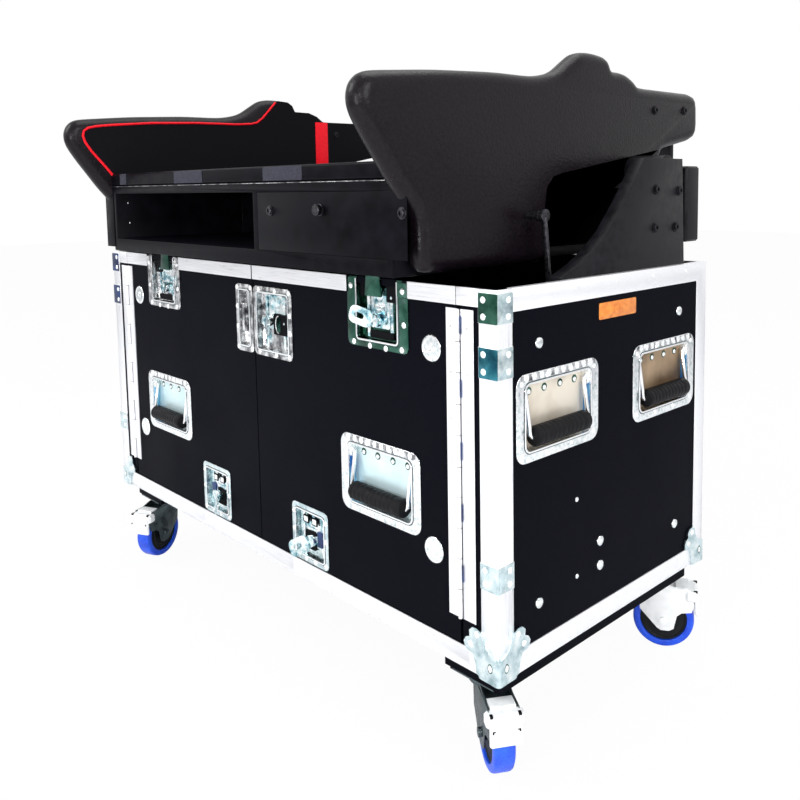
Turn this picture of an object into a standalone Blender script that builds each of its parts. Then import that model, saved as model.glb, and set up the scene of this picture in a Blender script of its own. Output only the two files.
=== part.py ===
# Wheeled flight case with a tilting cradle for a mixing desk.
# Case coordinates: x from the middle, y from the front face to the back, z from the bottom of the
# case. The finished parts stand on z = 0, centred under the middle of their overall box.
import math

import bmesh
import bpy
from mathutils import Matrix, Vector

# Driving dimensions in metres. step_in sets joined faces back from each other, so that none
# share a plane.
case_width = 1.3126
case_depth = 0.6097
case_height = 0.600
gap = 0.0003
step_in = 0.0001
lap = 0.001
overrun = 0.010
wall = 0.002
flange = 0.0355
panel_thickness = 0.0095
base_thickness = 0.012

castor_board_thickness = 0.036
castor_board_width = 0.124
castor_board_inset = 0.0213
castor_board_front = 0.028
castor_height = 0.144
castor_side_inset = 0.0833
castor_end_inset = 0.070
castor_trail = 0.035
mount_plate_length = 0.100
mount_plate_width = 0.084
mount_plate_thickness = 0.003
kingpin_radius = 0.006
kingpin_head_radius = 0.009
kingpin_head_height = 0.004
wheel_radius = 0.060
wheel_width = 0.036
wheel_hub_radius = 0.012
wheel_face_recess = 0.003
tread_rim = (0.016, 0.014, 0.005, 0.008)
axle_radius = 0.004
axle_nut_rim = 0.004
axle_nut_height = 0.005
fork_inner_width = 0.042
fork_sheet = 0.003
crown_radius = 0.035
crown_thickness = 0.010
fork_front = 0.028
fork_heel = (0.022, 0.020)
fork_ear_radius = 0.007
fork_axle_radius = 0.014
brake_pin_radius = 0.003
brake_pin_trail = 0.062
brake_pin_height = 0.122
brake_arm = ((-0.004, 0.020), (-0.003, 0.008))
brake_shoulder = ((0.016, 0.038), (-0.017, 0.004))
brake_shoulder_half = 0.031
brake_shoulder_round = 0.004
brake_flap = ((0.033, 0.042), (-0.046, -0.008))
brake_flap_half = 0.026
brake_flap_round = 0.003

hinge_inset = 0.0778
hinge_front = 0.0015
hinge_bottom = 0.0786
hinge_top_drop = 0.0336
hinge_knuckles = 10
knuckle_radius = 0.0035
hinge_pin_radius = 0.0013
leaf_thickness = 0.0015
door_leaf_width = 0.0228
jamb_leaf_width = 0.0276
leaf_clearance = 0.0042
door_seam = 0.0015
door_bottom = 0.0375
door_strip_height = 0.028
door_strip_stand = 0.0007
disc_radius = 0.0205
disc_stand = 0.002
disc_inset = 0.1393
disc_low = 0.170
disc_drop = 0.102

handle_width = 0.202
handle_height = 0.138
handle_corner = 0.010
handle_recess_width = 0.165
handle_recess_height = 0.104
handle_depth = 0.016
dish_sheet = 0.001
dish_plate = 0.0017
bail_radius = 0.004
bail_drop = 0.070
bail_pivot_rise = 0.040
bail_pivot_depth = 0.0085
grip_radius = 0.013
grip_length = 0.112
door_handle_inset = 0.2733
door_handle_height = 0.250
side_handle_inset = 0.148
side_handle_drop = 0.203
bail_end_room = 0.012

latch_depth = 0.012
latch_margin = 0.013
boss_radius = 0.012
latch_pin_radius = 0.003
wing_length = 0.046
wing_width = 0.034
wing_sheet = 0.002
wing_round = 0.010
wing_tilt = math.radians(24)
cam_half_length = 0.018
cam_half_height = 0.008
cam_thickness = 0.004
butterfly_front = 0.003
latch_corner = 0.010
boss_drop = 0.012
top_latch_inset = 0.2763
top_latch_width = 0.145
top_latch_drop = 0.120
top_hook_width = 0.040
top_hook_rise = 0.009
top_hook_back = 0.004
bottom_latch_centre = 0.174
bottom_latch_width = 0.115
bottom_latch_top = 0.150
bottom_latch_hole_offset = 0.018
bottom_latch_hole_half = (0.006, 0.0045)
keeper_stand = 0.002
keeper_bottom = 0.008
keeper_slot_drop = 0.010
centre_latch_left = 0.065
centre_latch_right = 0.1345
centre_latch_bottom_drop = 0.178
centre_latch_top_drop = 0.040
centre_boss_offset = 0.050

brace_stand = 0.0015
low_brace = (0.142, 0.184)
middle_brace_drop = (0.133, 0.086)
top_brace_drop = (0.051, 0.005)
ball_size = 0.070
ball_height = 0.078
ball_stand = 0.003
ball_round = 0.016
ball_arch = 0.020
ball_arch_bottom = 0.030

cheek_inset = 0.1563
cheek_thickness = 0.045
tray_rise = 0.012
tray_floor_thickness = 0.028
tray_front = 0.060
tray_board = 0.018
deck_rise = 0.144
deck_back = 0.600
tray_divider = 0.120
tray_notch = 0.270
tray_back = 0.748
well_lift = 0.008
well_back = 0.500
well_knee = (0.530, 0.100)
well_knee_inside = (0.514, 0.110)
well_back_inside = 0.488
arm_tray_front = 0.640
arm_tray_front_inside = 0.634
arm_tray_rise = 0.190
arm_tray_lip = 0.245
riser_top = ((0.618, 0.190), (0.600, 0.200))
rail_height = 0.0277
rail_depth = 0.040
rail_round = 0.003
knob_place = 0.320
knob_rise = 0.114
knob_radius = 0.009
knob_stand = 0.010
compartment_panel_thickness = 0.010
compartment_panel_set_back = 0.002

pivot_y = 0.520
pivot_rise = 0.175
pivot_pin_radius = 0.011
pivot_pin_depth = 0.020
pivot_boss_radius = 0.030
bracket_thickness = 0.0238
bracket_foot_clearance = 0.010

strut_foot = (0.262, 0.120)
strut_head_place = 0.200
strut_head_rise = 0.100
strut_cheek_clearance = 0.038
strut_cylinder_radius = 0.011
strut_cylinder_length = 0.340
strut_rod_radius = 0.005
strut_rod_start = 0.075
strut_bore_room = 0.003
strut_eye_room = 0.004
strut_eye_radius = 0.011
strut_eye_width = 0.008
strut_stud_radius = 0.004
strut_stud_rim = 0.002
strut_head_clearance = 0.0005
strut_stud_head = (0.003, 0.003)

# Side view of a cheek, from the front bottom up over the nose and back along the arm. Heights
# here and in the bracket are from the top of the case.
nose_front = 0.174
arm_back = 0.777
cheek_profile = (
    (-0.062, 0.017), (-0.064, 0.087), (-0.090, 0.124), (-0.136, 0.187), (-0.168, 0.232),
    (-nose_front, 0.251), (-0.170, 0.280), (-0.158, 0.300), (-0.133, 0.309), (0.002, 0.324),
    (0.136, 0.332), (0.237, 0.334), (0.291, 0.346), (0.334, 0.374), (0.352, 0.385),
    (0.375, 0.390), (0.400, 0.391), (0.435, 0.389), (0.450, 0.380), (0.458, 0.364),
    (0.501, 0.364), (0.529, 0.355), (0.550, 0.338), (0.774, 0.342), (arm_back, 0.248),
    (0.636, 0.221), (0.627, 0.200), (0.560, 0.178), (0.504, 0.163), (0.272, 0.149),
    (0.271, 0.018),
)
bracket_back = 0.545
bracket_front = 0.165
bracket_head = ((0.405, 0.197), (0.535, 0.197), (bracket_back, 0.006))
bracket_brace = (
    (bracket_front, 0.003), (0.212, 0.021), (0.256, 0.045), (0.292, 0.071), (0.323, 0.102),
    (0.346, 0.127), (0.366, 0.151),
)
bracket_block_y = (0.552, 0.600)
bracket_block_rise = (0.040, 0.184)
bracket_block_round = 0.004
bracket_web_y = (0.530, 0.562)
bracket_web_rise = (0.060, 0.160)
bracket_web_thickness = 0.010

# Derived places
half_width = case_width / 2
hinge_centre = half_width - hinge_inset
hinge_top = case_height - hinge_top_drop
disc_centre = half_width - disc_inset
disc_heights = (disc_low, case_height - disc_drop)
side_handle_height = case_height - side_handle_drop
bracket_foot = side_handle_height + handle_recess_height / 2 + dish_sheet + bracket_foot_clearance
top_latch_bottom = case_height - top_latch_drop
top_latch_centre = half_width - top_latch_inset
door_handle_centre = half_width - door_handle_inset
centre_latch_bottom = case_height - centre_latch_bottom_drop
centre_latch_top = case_height - centre_latch_top_drop
brace_spans = (
    low_brace,
    (case_height - middle_brace_drop[0], case_height - middle_brace_drop[1]),
    (case_height - top_brace_drop[0], case_height - top_brace_drop[1]),
)
cheek_inner = half_width - cheek_inset
panel_face = wall + gap
panel_back = panel_face + panel_thickness
base_top = panel_face + base_thickness
floor_z = -castor_board_thickness - castor_height
plate_bottom = -castor_board_thickness - mount_plate_thickness
crown_bottom = plate_bottom - gap - crown_thickness
axle_z = floor_z + wheel_radius
side_inner = half_width - panel_back
cheek_outer = cheek_inner + cheek_thickness
strut_side = cheek_outer + strut_cheek_clearance
strut_head = (strut_head_place, case_height + strut_head_rise)
pivot_z = case_height + pivot_rise
tray_half = cheek_inner - gap
tray_bottom = case_height + tray_rise
deck_bottom = case_height + deck_rise
deck_top = deck_bottom + tray_board
floor_top = tray_bottom + tray_floor_thickness
frame_place = Matrix.Translation((0, -(arm_back - nose_front) / 2, -floor_z))

parts = bpy.data.collections.new("mixer_flight_case")
cutters = bpy.data.collections.new("cutters")


def clear_scene():
    for obj in list(bpy.data.objects):
        bpy.data.objects.remove(obj, do_unlink=True)
    bpy.context.scene.collection.children.link(parts)
    bpy.context.scene.collection.children.link(cutters)
    cutters.hide_render = True


def material(name, colour, roughness, metallic=0.0):
    made = bpy.data.materials.new(name)
    made.use_nodes = True
    shader = made.node_tree.nodes["Principled BSDF"]
    shader.inputs["Base Color"].default_value = (*colour, 1)
    shader.inputs["Roughness"].default_value = roughness
    shader.inputs["Metallic"].default_value = metallic
    return made


def tool(mesh, place=Matrix.Identity(4)):
    mesh.transform(place)
    made = bpy.data.objects.new("tool", mesh)
    made.hide_render = True
    made.display_type = "WIRE"
    cutters.objects.link(made)
    return made


def block(x, y, z, rounding=0.0, steps=2):
    mesh = bpy.data.meshes.new("block")
    shape = bmesh.new()
    bmesh.ops.create_cube(shape, size=1.0)
    size = Vector((x[1] - x[0], y[1] - y[0], z[1] - z[0]))
    middle = Vector((x[0] + x[1], y[0] + y[1], z[0] + z[1])) / 2
    bmesh.ops.scale(shape, vec=size, verts=shape.verts)
    if rounding:
        bmesh.ops.bevel(
            shape, geom=shape.edges[:], offset=rounding, segments=steps, profile=0.5, affect="EDGES"
        )
    bmesh.ops.translate(shape, vec=middle, verts=shape.verts)
    shape.to_mesh(mesh)
    shape.free()
    return tool(mesh)


def disc(axis, centre, radius, span, sides=16):
    mesh = bpy.data.meshes.new("disc")
    shape = bmesh.new()
    bmesh.ops.create_cone(
        shape, cap_ends=True, segments=sides, radius1=radius, radius2=radius, depth=span[1] - span[0]
    )
    turns = {"X": Matrix.Rotation(math.pi / 2, 4, "Y"), "Y": Matrix.Rotation(math.pi / 2, 4, "X"),
             "Z": Matrix.Identity(4)}
    middle = (span[0] + span[1]) / 2
    places = {"X": (middle, *centre), "Y": (centre[0], middle, centre[1]), "Z": (*centre, middle)}
    bmesh.ops.transform(shape, matrix=Matrix.Translation(places[axis]) @ turns[axis], verts=shape.verts)
    shape.to_mesh(mesh)
    shape.free()
    return tool(mesh)


def evaluated_tool(obj, place):
    graph = bpy.context.evaluated_depsgraph_get()
    mesh = bpy.data.meshes.new_from_object(obj.evaluated_get(graph))
    shape = bmesh.new()
    shape.from_mesh(mesh)
    bmesh.ops.remove_doubles(shape, verts=shape.verts, dist=1e-6)
    bmesh.ops.recalc_face_normals(shape, faces=shape.faces)
    shape.to_mesh(mesh)
    shape.free()
    bpy.data.objects.remove(obj, do_unlink=True)
    return tool(mesh, place)


def sheet(points, axis, span):
    curve = bpy.data.curves.new("outline", "CURVE")
    curve.dimensions = "2D"
    curve.fill_mode = "BOTH"
    curve.extrude = (span[1] - span[0]) / 2
    line = curve.splines.new("POLY")
    line.points.add(len(points) - 1)
    for point, (a, b) in zip(line.points, points):
        point.co = (a, b, 0, 1)
    line.use_cyclic_u = True
    obj = bpy.data.objects.new("outline", curve)
    cutters.objects.link(obj)
    middle = (span[0] + span[1]) / 2
    columns = {
        "X": ((0, 0, 1, middle), (1, 0, 0, 0), (0, 1, 0, 0), (0, 0, 0, 1)),
        "Y": ((1, 0, 0, 0), (0, 0, -1, middle), (0, 1, 0, 0), (0, 0, 0, 1)),
        "Z": ((1, 0, 0, 0), (0, 1, 0, 0), (0, 0, 1, middle), (0, 0, 0, 1)),
    }
    return evaluated_tool(obj, Matrix(columns[axis]))


def tube(points, radius):
    curve = bpy.data.curves.new("tube", "CURVE")
    curve.dimensions = "3D"
    curve.bevel_depth = radius
    curve.bevel_resolution = 2
    curve.use_fill_caps = True
    line = curve.splines.new("POLY")
    line.points.add(len(points) - 1)
    for point, place in zip(line.points, points):
        point.co = (*place, 1)
    obj = bpy.data.objects.new("tube", curve)
    cutters.objects.link(obj)
    return evaluated_tool(obj, Matrix.Identity(4))


def turned(profile, steps=24):
    mesh = bpy.data.meshes.new("profile")
    mesh.from_pydata([(r, 0, z) for r, z in profile], [(i, i + 1) for i in range(len(profile) - 1)], [])
    obj = bpy.data.objects.new("profile", mesh)
    cutters.objects.link(obj)
    screw = obj.modifiers.new("turn", "SCREW")
    screw.steps = steps
    screw.render_steps = steps
    screw.use_merge_vertices = True
    screw.merge_threshold = 0.00001
    return evaluated_tool(obj, Matrix.Identity(4))


def combine(first, others, operation):
    for other in others:
        change = first.modifiers.new("combine", "BOOLEAN")
        change.operation = operation
        change.solver = "EXACT"
        change.object = other
        graph = bpy.context.evaluated_depsgraph_get()
        mesh = bpy.data.meshes.new_from_object(first.evaluated_get(graph))
        first.modifiers.clear()
        first.data = mesh
        bpy.data.objects.remove(other, do_unlink=True)
    return first


def join(first, *others):
    return combine(first, others, "UNION")


def cut(first, *others):
    return combine(first, others, "DIFFERENCE")


def copy(obj, place=Matrix.Identity(4)):
    return tool(obj.data.copy(), place)


def mirrored(obj):
    mesh = obj.data.copy()
    mesh.transform(Matrix.Scale(-1, 4, (1, 0, 0)))
    mesh.flip_normals()
    return tool(mesh)


def finish(name, obj, surface, pivot=(0, 0, 0), smooth=False):
    obj.name = name
    obj.hide_render = False
    obj.display_type = "TEXTURED"
    pivot = Vector(pivot)
    obj.data.transform(Matrix.Translation(-pivot))
    obj.location = frame_place @ pivot
    obj.data.materials.clear()
    obj.data.materials.append(surface)
    if smooth:
        obj.data.shade_smooth()
        obj.data.set_sharp_from_angle(angle=math.radians(35))
    cutters.objects.unlink(obj)
    parts.objects.link(obj)
    return obj


def finish_pair(name, right, surface, pivot=(0, 0, 0), smooth=False):
    left = mirrored(right)
    finish(name + "_right", right, surface, pivot, smooth)
    finish(name + "_left", left, surface, (-pivot[0], pivot[1], pivot[2]), smooth)


def rounded_rectangle(centre, width, height, radius, steps=2):
    points = []
    for corner in range(4):
        middle = math.pi / 4 + corner * math.pi / 2
        x = centre[0] + math.copysign(width / 2 - radius, math.cos(middle))
        z = centre[1] + math.copysign(height / 2 - radius, math.sin(middle))
        for step in range(steps + 1):
            angle = corner * math.pi / 2 + step * math.pi / 2 / steps
            points.append((x + radius * math.cos(angle), z + radius * math.sin(angle)))
    return points


def chamfered_rectangle(centre, width, height, corner):
    return rounded_rectangle(centre, width, height, corner, 1)


# Castors
def castor_base():
    x = castor_side_inset
    outer = half_width - castor_board_inset
    inner = outer - castor_board_width
    ends = (castor_board_front, case_depth - castor_board_front)
    board = block((inner, outer), ends, (-castor_board_thickness, -gap))
    neck = block(
        (inner, half_width - flange - gap), (flange + gap, case_depth - flange - gap),
        (-lap, panel_face + lap),
    )
    join(board, neck)
    for y in (castor_end_inset, case_depth - castor_end_inset):
        centre = (half_width - x, y)
        half_plate = (mount_plate_length / 2, mount_plate_width / 2)
        plate = block(
            (centre[0] - half_plate[0], centre[0] + half_plate[0]),
            (y - half_plate[1], y + half_plate[1]),
            (plate_bottom, -castor_board_thickness + lap),
        )
        head_low = crown_bottom
        pin = disc("Z", centre, kingpin_radius, (head_low + lap, plate_bottom + lap))
        head = disc("Z", centre, kingpin_head_radius, (head_low, head_low + kingpin_head_height))
        join(board, plate, pin, head)
    return board


def brake_pin_place():
    return brake_pin_trail, floor_z + brake_pin_height


def fork_cheek_outline():
    ear = Vector(brake_pin_place())
    axle = Vector((castor_trail, axle_z))
    top = plate_bottom - gap - crown_thickness / 2
    points = [(-fork_front, top), (crown_radius, top), (ear.x, ear.y + fork_ear_radius)]
    for angle in (30, -30):
        turn = math.radians(angle)
        points.append(ear + fork_ear_radius * Vector((math.cos(turn), math.sin(turn))))
    for angle in range(0, -181, -36):
        turn = math.radians(angle)
        points.append(axle + fork_axle_radius * Vector((math.cos(turn), math.sin(turn))))
    points.append((-fork_heel[0], top - fork_heel[1]))
    return points[::-1]


def castor_fork():
    crown_top = plate_bottom - gap
    fork = disc("Z", (0, 0), crown_radius, (crown_bottom, crown_top), 20)
    for side in (-1, 1):
        near = side * fork_inner_width / 2
        far = side * (fork_inner_width / 2 + fork_sheet)
        low, high = sorted((near, far))
        cheek = sheet(fork_cheek_outline(), "Y", (low, high))
        hole = disc("Y", brake_pin_place(), brake_pin_radius + gap, (low - overrun, high + overrun), 16)
        nut_span = sorted((far - side * lap / 2, far + side * (axle_nut_height + lap / 2)))
        nut = disc("Y", (castor_trail, axle_z), axle_radius + axle_nut_rim, nut_span, 16)
        join(fork, cut(cheek, hole), nut)
    reach = fork_inner_width / 2 + lap
    axle = disc("Y", (castor_trail, axle_z), axle_radius, (-reach, reach), 16)
    bore = disc("Z", (0, 0), kingpin_radius + gap, (crown_bottom - overrun, crown_top + overrun))
    recess_top = crown_bottom + kingpin_head_height + gap
    recess = disc("Z", (0, 0), kingpin_head_radius + gap, (crown_bottom - overrun, recess_top))
    return cut(join(fork, axle), bore, recess)


def castor_wheel():
    half = wheel_width / 2
    hub = fork_inner_width / 2 - gap
    bore = axle_radius + gap
    face = half - wheel_face_recess
    inner, raised, shoulder, edge = tread_rim
    profile = (
        (bore, hub), (wheel_hub_radius, hub), (wheel_hub_radius, face),
        (wheel_radius - inner, face), (wheel_radius - raised, half), (wheel_radius - shoulder, half),
        (wheel_radius, half - edge),
    )
    lower = [(r, -z) for r, z in reversed(profile)]
    wheel = turned([*profile, *lower, profile[0]])
    wheel.data.transform(Matrix.Translation((castor_trail, 0, axle_z)) @ Matrix.Rotation(math.pi / 2, 4, "X"))
    return wheel


def brake_block(sizes, half, rounding=0.0):
    trail, height = brake_pin_place()
    along, up = sizes
    return block(
        (trail + along[0], trail + along[1]), (-half, half), (height + up[0], height + up[1]), rounding, 1
    )


def castor_brake():
    half = fork_inner_width / 2 - gap
    arm = brake_block(brake_arm, half)
    shoulder = brake_block(brake_shoulder, brake_shoulder_half, brake_shoulder_round)
    flap = brake_block(brake_flap, brake_flap_half, brake_flap_round)
    pin = disc("Y", brake_pin_place(), brake_pin_radius, (-half - fork_sheet, half + fork_sheet), 16)
    return join(arm, shoulder, flap, pin)


def make_castors(metal, tyre, pedal):
    fork = castor_fork()
    wheel = castor_wheel()
    brake = castor_brake()
    x = half_width - castor_side_inset
    near = castor_end_inset
    far = case_depth - castor_end_inset
    places = {
        "right_front": (x, near, -33), "right_rear": (x, far, 30), "left_front": (-x, near, -65),
        "left_rear": (-x, far, 147),
    }
    for name, (px, py, degrees) in places.items():
        place = Matrix.Translation((px, py, 0)) @ Matrix.Rotation(math.radians(degrees), 4, "Z")
        finish("caster_fork_" + name, copy(fork, place), metal, (px, py, plate_bottom), True)
        hub = place @ Vector((castor_trail, 0, axle_z))
        finish("caster_wheel_" + name, copy(wheel, place), tyre, hub, True)
        t, z = brake_pin_place()
        finish("caster_brake_" + name, copy(brake, place), pedal, place @ Vector((t, 0, z)))
    for spare in (fork, wheel, brake):
        bpy.data.objects.remove(spare, do_unlink=True)


# Case
def make_base(wood):
    reach = half_width - panel_face
    board = block((-reach, reach), (panel_face, case_depth - panel_face), (panel_face, base_top))
    right = castor_base()
    left = mirrored(right)
    finish("base_board", join(board, right, left), wood)


def ball_corner():
    x = half_width
    outer = (x - ball_size, x + ball_stand)
    ball = block(outer, (-ball_stand, ball_size), (-ball_stand, ball_height), ball_round, 2)
    flat = wall / 2
    lower = block((0, x - flat), (flat, 1), (flat, flange - flat))
    upper = block((0, x + gap), (-gap, 1), (flange - flat, 1))
    shelf = block((0, x - flange), (flange, 1), (-1, flange))
    lobe = block((x - ball_arch, x + 0.1), (-0.1, ball_arch), (ball_arch_bottom, 0.1))
    cut(ball, lower, upper, shelf, lobe)
    under = block((x - 1, x - castor_board_inset + gap), (castor_board_front - gap, 1), (-1, flat / 2))
    return cut(ball, under)


def make_bottom_frame(metal):
    x = half_width
    ring = block((-x, x), (0, case_depth), (0, flange))
    inside = block((-x + wall, x - wall), (wall, case_depth - wall), (wall, 1))
    window = block((-x + flange, x - flange), (flange, case_depth - flange), (-1, 1))
    cut(ring, inside, window)
    ball = ball_corner()
    back = Matrix.Translation((0, case_depth, 0)) @ Matrix.Scale(-1, 4, (0, 1, 0))
    rear = tool(ball.data.copy(), back)
    rear.data.flip_normals()
    join(ring, mirrored(ball), mirrored(rear), ball, rear)
    for side in (-1, 1):
        middle = side * bottom_latch_centre
        half = bottom_latch_width / 2
        keeper = block((middle - half, middle + half), (-keeper_stand, wall / 2), (keeper_bottom, flange))
        slot = block((middle - half / 2, middle + half / 2), (-1, -wall / 4), (flange - keeper_slot_drop, 1))
        join(ring, cut(keeper, slot))
    finish("bottom_frame", ring, metal)


def make_upper_frame(metal):
    x = half_width
    low = case_height - flange
    back = case_depth
    frame = block((-x, x), (flange + gap, back), (flange + gap, case_height))
    inside = block((wall - x, x - wall), (-1, back - wall), (-1, case_height - wall))
    sides = block((-1, 1), (-1, back - flange), (-1, low))
    rear = block((flange - x, x - flange), (-1, 1), (-1, low))
    top = block((-side_inner, side_inner), (-1, back - panel_back), (-1, 1))
    finish("upper_frame", cut(frame, inside, sides, rear, top), metal)


def make_front_posts(metal):
    x = half_width
    post = block((x - flange, x), (0, flange), (flange + gap, case_height))
    cut(post, block((0, x - wall), (wall, 1), (-1, 1)))
    for low, high in brace_spans:
        brace = block((x - flange, x + brace_stand), (-brace_stand, flange), (low, high))
        cut(brace, block((0, x - wall / 2), (wall / 2, 1), (-1, 1)))
        join(post, brace)
    finish_pair("front_post", post, metal)


def bolt_stud_side():
    y, z = strut_foot
    eye = strut_eye_width / 2 + gap
    rim, height = strut_stud_head
    inner = strut_side - eye - height
    stud = disc("X", (y, z), strut_stud_radius, (inner, side_inner + lap), 16)
    shoulder = disc("X", (y, z), strut_eye_radius, (strut_side + eye, side_inner + lap), 16)
    head = disc("X", (y, z), strut_stud_radius + rim, (inner - lap, strut_side - eye), 16)
    return join(stud, shoulder, head)


def handle_hole():
    half_x = handle_recess_width / 2 + dish_sheet + gap
    half_z = handle_recess_height / 2 + dish_sheet + gap
    return block((-half_x, half_x), (-1, 1), (-half_z, half_z))


def make_side_panels(wood):
    panel = block(
        (side_inner, half_width - panel_face), (panel_face, case_depth - panel_face),
        (base_top + gap, case_height - panel_face),
    )
    turn = Matrix.Rotation(math.pi / 2, 4, "Z")
    for y in (side_handle_inset, case_depth - side_handle_inset):
        hole = handle_hole()
        hole.data.transform(Matrix.Translation((side_inner, y, side_handle_height)) @ turn)
        cut(panel, hole)
    join(panel, bolt_stud_side())
    finish_pair("side_panel", panel, wood)


def make_back_panel(wood):
    reach = side_inner - gap
    panel = block(
        (-reach, reach), (case_depth - panel_back, case_depth - panel_face),
        (base_top + gap, case_height - panel_face),
    )
    finish("back_panel", panel, wood)


# Handles
def handle_dish():
    plate = sheet(
        rounded_rectangle((0, 0), handle_width, handle_height, handle_corner), "Y", (gap, gap + dish_plate)
    )
    half_x = handle_recess_width / 2 + dish_sheet
    half_z = handle_recess_height / 2 + dish_sheet
    cup = block((-half_x, half_x), (gap + dish_plate / 2, handle_depth + dish_sheet), (-half_z, half_z))
    room = block(
        (dish_sheet - half_x, half_x - dish_sheet), (-1, handle_depth),
        (dish_sheet - half_z, half_z - dish_sheet),
    )
    pivots = disc(
        "X", (bail_pivot_depth, bail_pivot_rise), bail_radius + gap, (-half_x - lap, half_x + lap), 16
    )
    return cut(join(plate, cup), room, pivots)


def handle_bail():
    ends = handle_recess_width / 2 + dish_sheet / 2
    arm = grip_length / 2 + bail_end_room
    low = (handle_depth - gap - grip_radius, bail_pivot_rise - bail_drop)
    top = (bail_pivot_depth, bail_pivot_rise)
    bail = tube(
        ((-ends, *top), (-arm, *top), (-arm, *low), (arm, *low), (arm, *top), (ends, *top)), bail_radius
    )
    grip = disc("X", low, grip_radius, (-grip_length / 2, grip_length / 2), 16)
    return join(grip, bail)


def make_handles(metal, rubber):
    dish = handle_dish()
    bail = handle_bail()
    pivot = Vector((0, bail_pivot_depth, bail_pivot_rise))
    for side, sign in (("right", 1), ("left", -1)):
        for end, y in (("front", side_handle_inset), ("rear", case_depth - side_handle_inset)):
            turn = Matrix.Rotation(sign * math.pi / 2, 4, "Z")
            place = Matrix.Translation((sign * half_width, y, side_handle_height)) @ turn
            finish(f"side_handle_dish_{side}_{end}", copy(dish, place), metal)
            finish(f"side_handle_bail_{side}_{end}", copy(bail, place), rubber, place @ pivot, True)
        place = Matrix.Translation((sign * door_handle_centre, 0, door_handle_height))
        finish(f"door_handle_dish_{side}", copy(dish, place), metal)
        finish(f"door_handle_bail_{side}", copy(bail, place), rubber, place @ pivot, True)
    for spare in (dish, bail):
        bpy.data.objects.remove(spare, do_unlink=True)


# Latches
def latch_cup(centre, width, height):
    inner_x = width / 2 - latch_margin
    inner_z = height / 2 - latch_margin
    x, z = centre
    outer = block(
        (x - inner_x - dish_sheet, x + inner_x + dish_sheet),
        (gap + dish_plate / 2, latch_depth + dish_sheet),
        (z - inner_z - dish_sheet, z + inner_z + dish_sheet),
    )
    room = block((x - inner_x, x + inner_x), (-1, latch_depth), (z - inner_z, z + inner_z))
    return outer, room


def latch_hole(centre, width, height):
    reach_x = width / 2 - latch_margin + dish_sheet + gap
    reach_z = height / 2 - latch_margin + dish_sheet + gap
    x, z = centre
    return block((x - reach_x, x + reach_x), (-1, 1), (z - reach_z, z + reach_z))


def latch_dish(centre, width, height, boss):
    plate = sheet(chamfered_rectangle(centre, width, height, latch_corner), "Y", (gap, gap + dish_plate))
    outer, room = latch_cup(centre, width, height)
    dish = cut(join(plate, outer), room)
    pin = disc("Y", boss, latch_pin_radius, (gap + dish_plate, latch_depth + dish_sheet / 2), 12)
    return join(dish, pin)


def butterfly(boss, angle):
    x, z = boss
    front = -butterfly_front
    body = disc("Y", boss, boss_radius, (front, latch_depth - gap), 16)
    wing = sheet(
        rounded_rectangle((wing_length / 2, 0), wing_length, wing_width, wing_round, 2), "Y", (-wing_sheet, 0)
    )
    tilt = Matrix.Rotation(-wing_tilt, 4, "Z")
    spin = Matrix.Rotation(angle, 4, "Y")
    wing.data.transform(Matrix.Translation((x, front + wing_sheet / 2, z)) @ spin @ tilt)
    cam = block(
        (x - cam_half_length, x + cam_half_length), (latch_depth - cam_thickness, latch_depth - 2 * gap),
        (z - cam_half_height, z + cam_half_height),
    )
    bore = disc("Y", boss, latch_pin_radius + gap, (gap + dish_plate - gap, 1), 12)
    return cut(join(body, wing, cam), bore)


def top_latch_centre_z():
    return (top_latch_bottom + case_height) / 2 - gap / 2


def top_latch_height():
    return case_height - top_latch_bottom - gap


def bottom_latch_place():
    low = door_bottom + gap
    return (low + bottom_latch_top) / 2, bottom_latch_top - low


def centre_latch_place():
    left = door_seam + gap
    x = (left + centre_latch_right) / 2
    z = (centre_latch_bottom + centre_latch_top) / 2
    return (x, z), centre_latch_right - left, centre_latch_top - centre_latch_bottom


def make_top_latches(metal):
    centre = (top_latch_centre, top_latch_centre_z())
    boss = (centre[0], centre[1] - boss_drop)
    dish = latch_dish(centre, top_latch_width, top_latch_height(), boss)
    half = top_hook_width / 2
    hook = block(
        (centre[0] - half, centre[0] + half), (gap, top_hook_back),
        (case_height - latch_margin, case_height + top_hook_rise),
    )
    join(dish, hook)
    finish_pair("top_latch_dish", dish, metal)
    key = butterfly(boss, math.radians(200))
    finish_pair("top_latch_butterfly", key, metal, (boss[0], 0, boss[1]), True)


def make_bottom_latches(metal):
    z, height = bottom_latch_place()
    centre = (bottom_latch_centre, z)
    boss = (centre[0], z - boss_drop)
    dish = latch_dish(centre, bottom_latch_width, height, boss)
    for side in (-1, 1):
        middle = centre[0] + side * bottom_latch_hole_offset
        top = z + height / 2 - latch_margin / 2
        half_x, half_z = bottom_latch_hole_half
        hole = block((middle - half_x, middle + half_x), (-1, overrun), (top - half_z, top + half_z))
        dish = cut(dish, hole)
    finish_pair("bottom_latch_dish", dish, metal)
    key = butterfly(boss, math.radians(150))
    finish_pair("bottom_latch_butterfly", key, metal, (boss[0], 0, boss[1]), True)


def make_centre_latch(metal):
    centre, width, height = centre_latch_place()
    boss = (centre_boss_offset, centre[1])
    dish = latch_dish(centre, width, height, boss)
    finish("centre_latch_dish", dish, metal)
    key = butterfly(boss, math.radians(10))
    finish("centre_latch_butterfly", key, metal, (boss[0], 0, boss[1]), True)
    left = door_seam + gap
    middle = (-(centre_latch_left + left) / 2, centre[1])
    width = centre_latch_left - left
    plate = sheet(chamfered_rectangle(middle, width, height, latch_corner), "Y", (gap, gap + dish_plate))
    outer, room = latch_cup(middle, width, height)
    finish("centre_latch_keeper", cut(join(plate, outer), room), metal)


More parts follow.
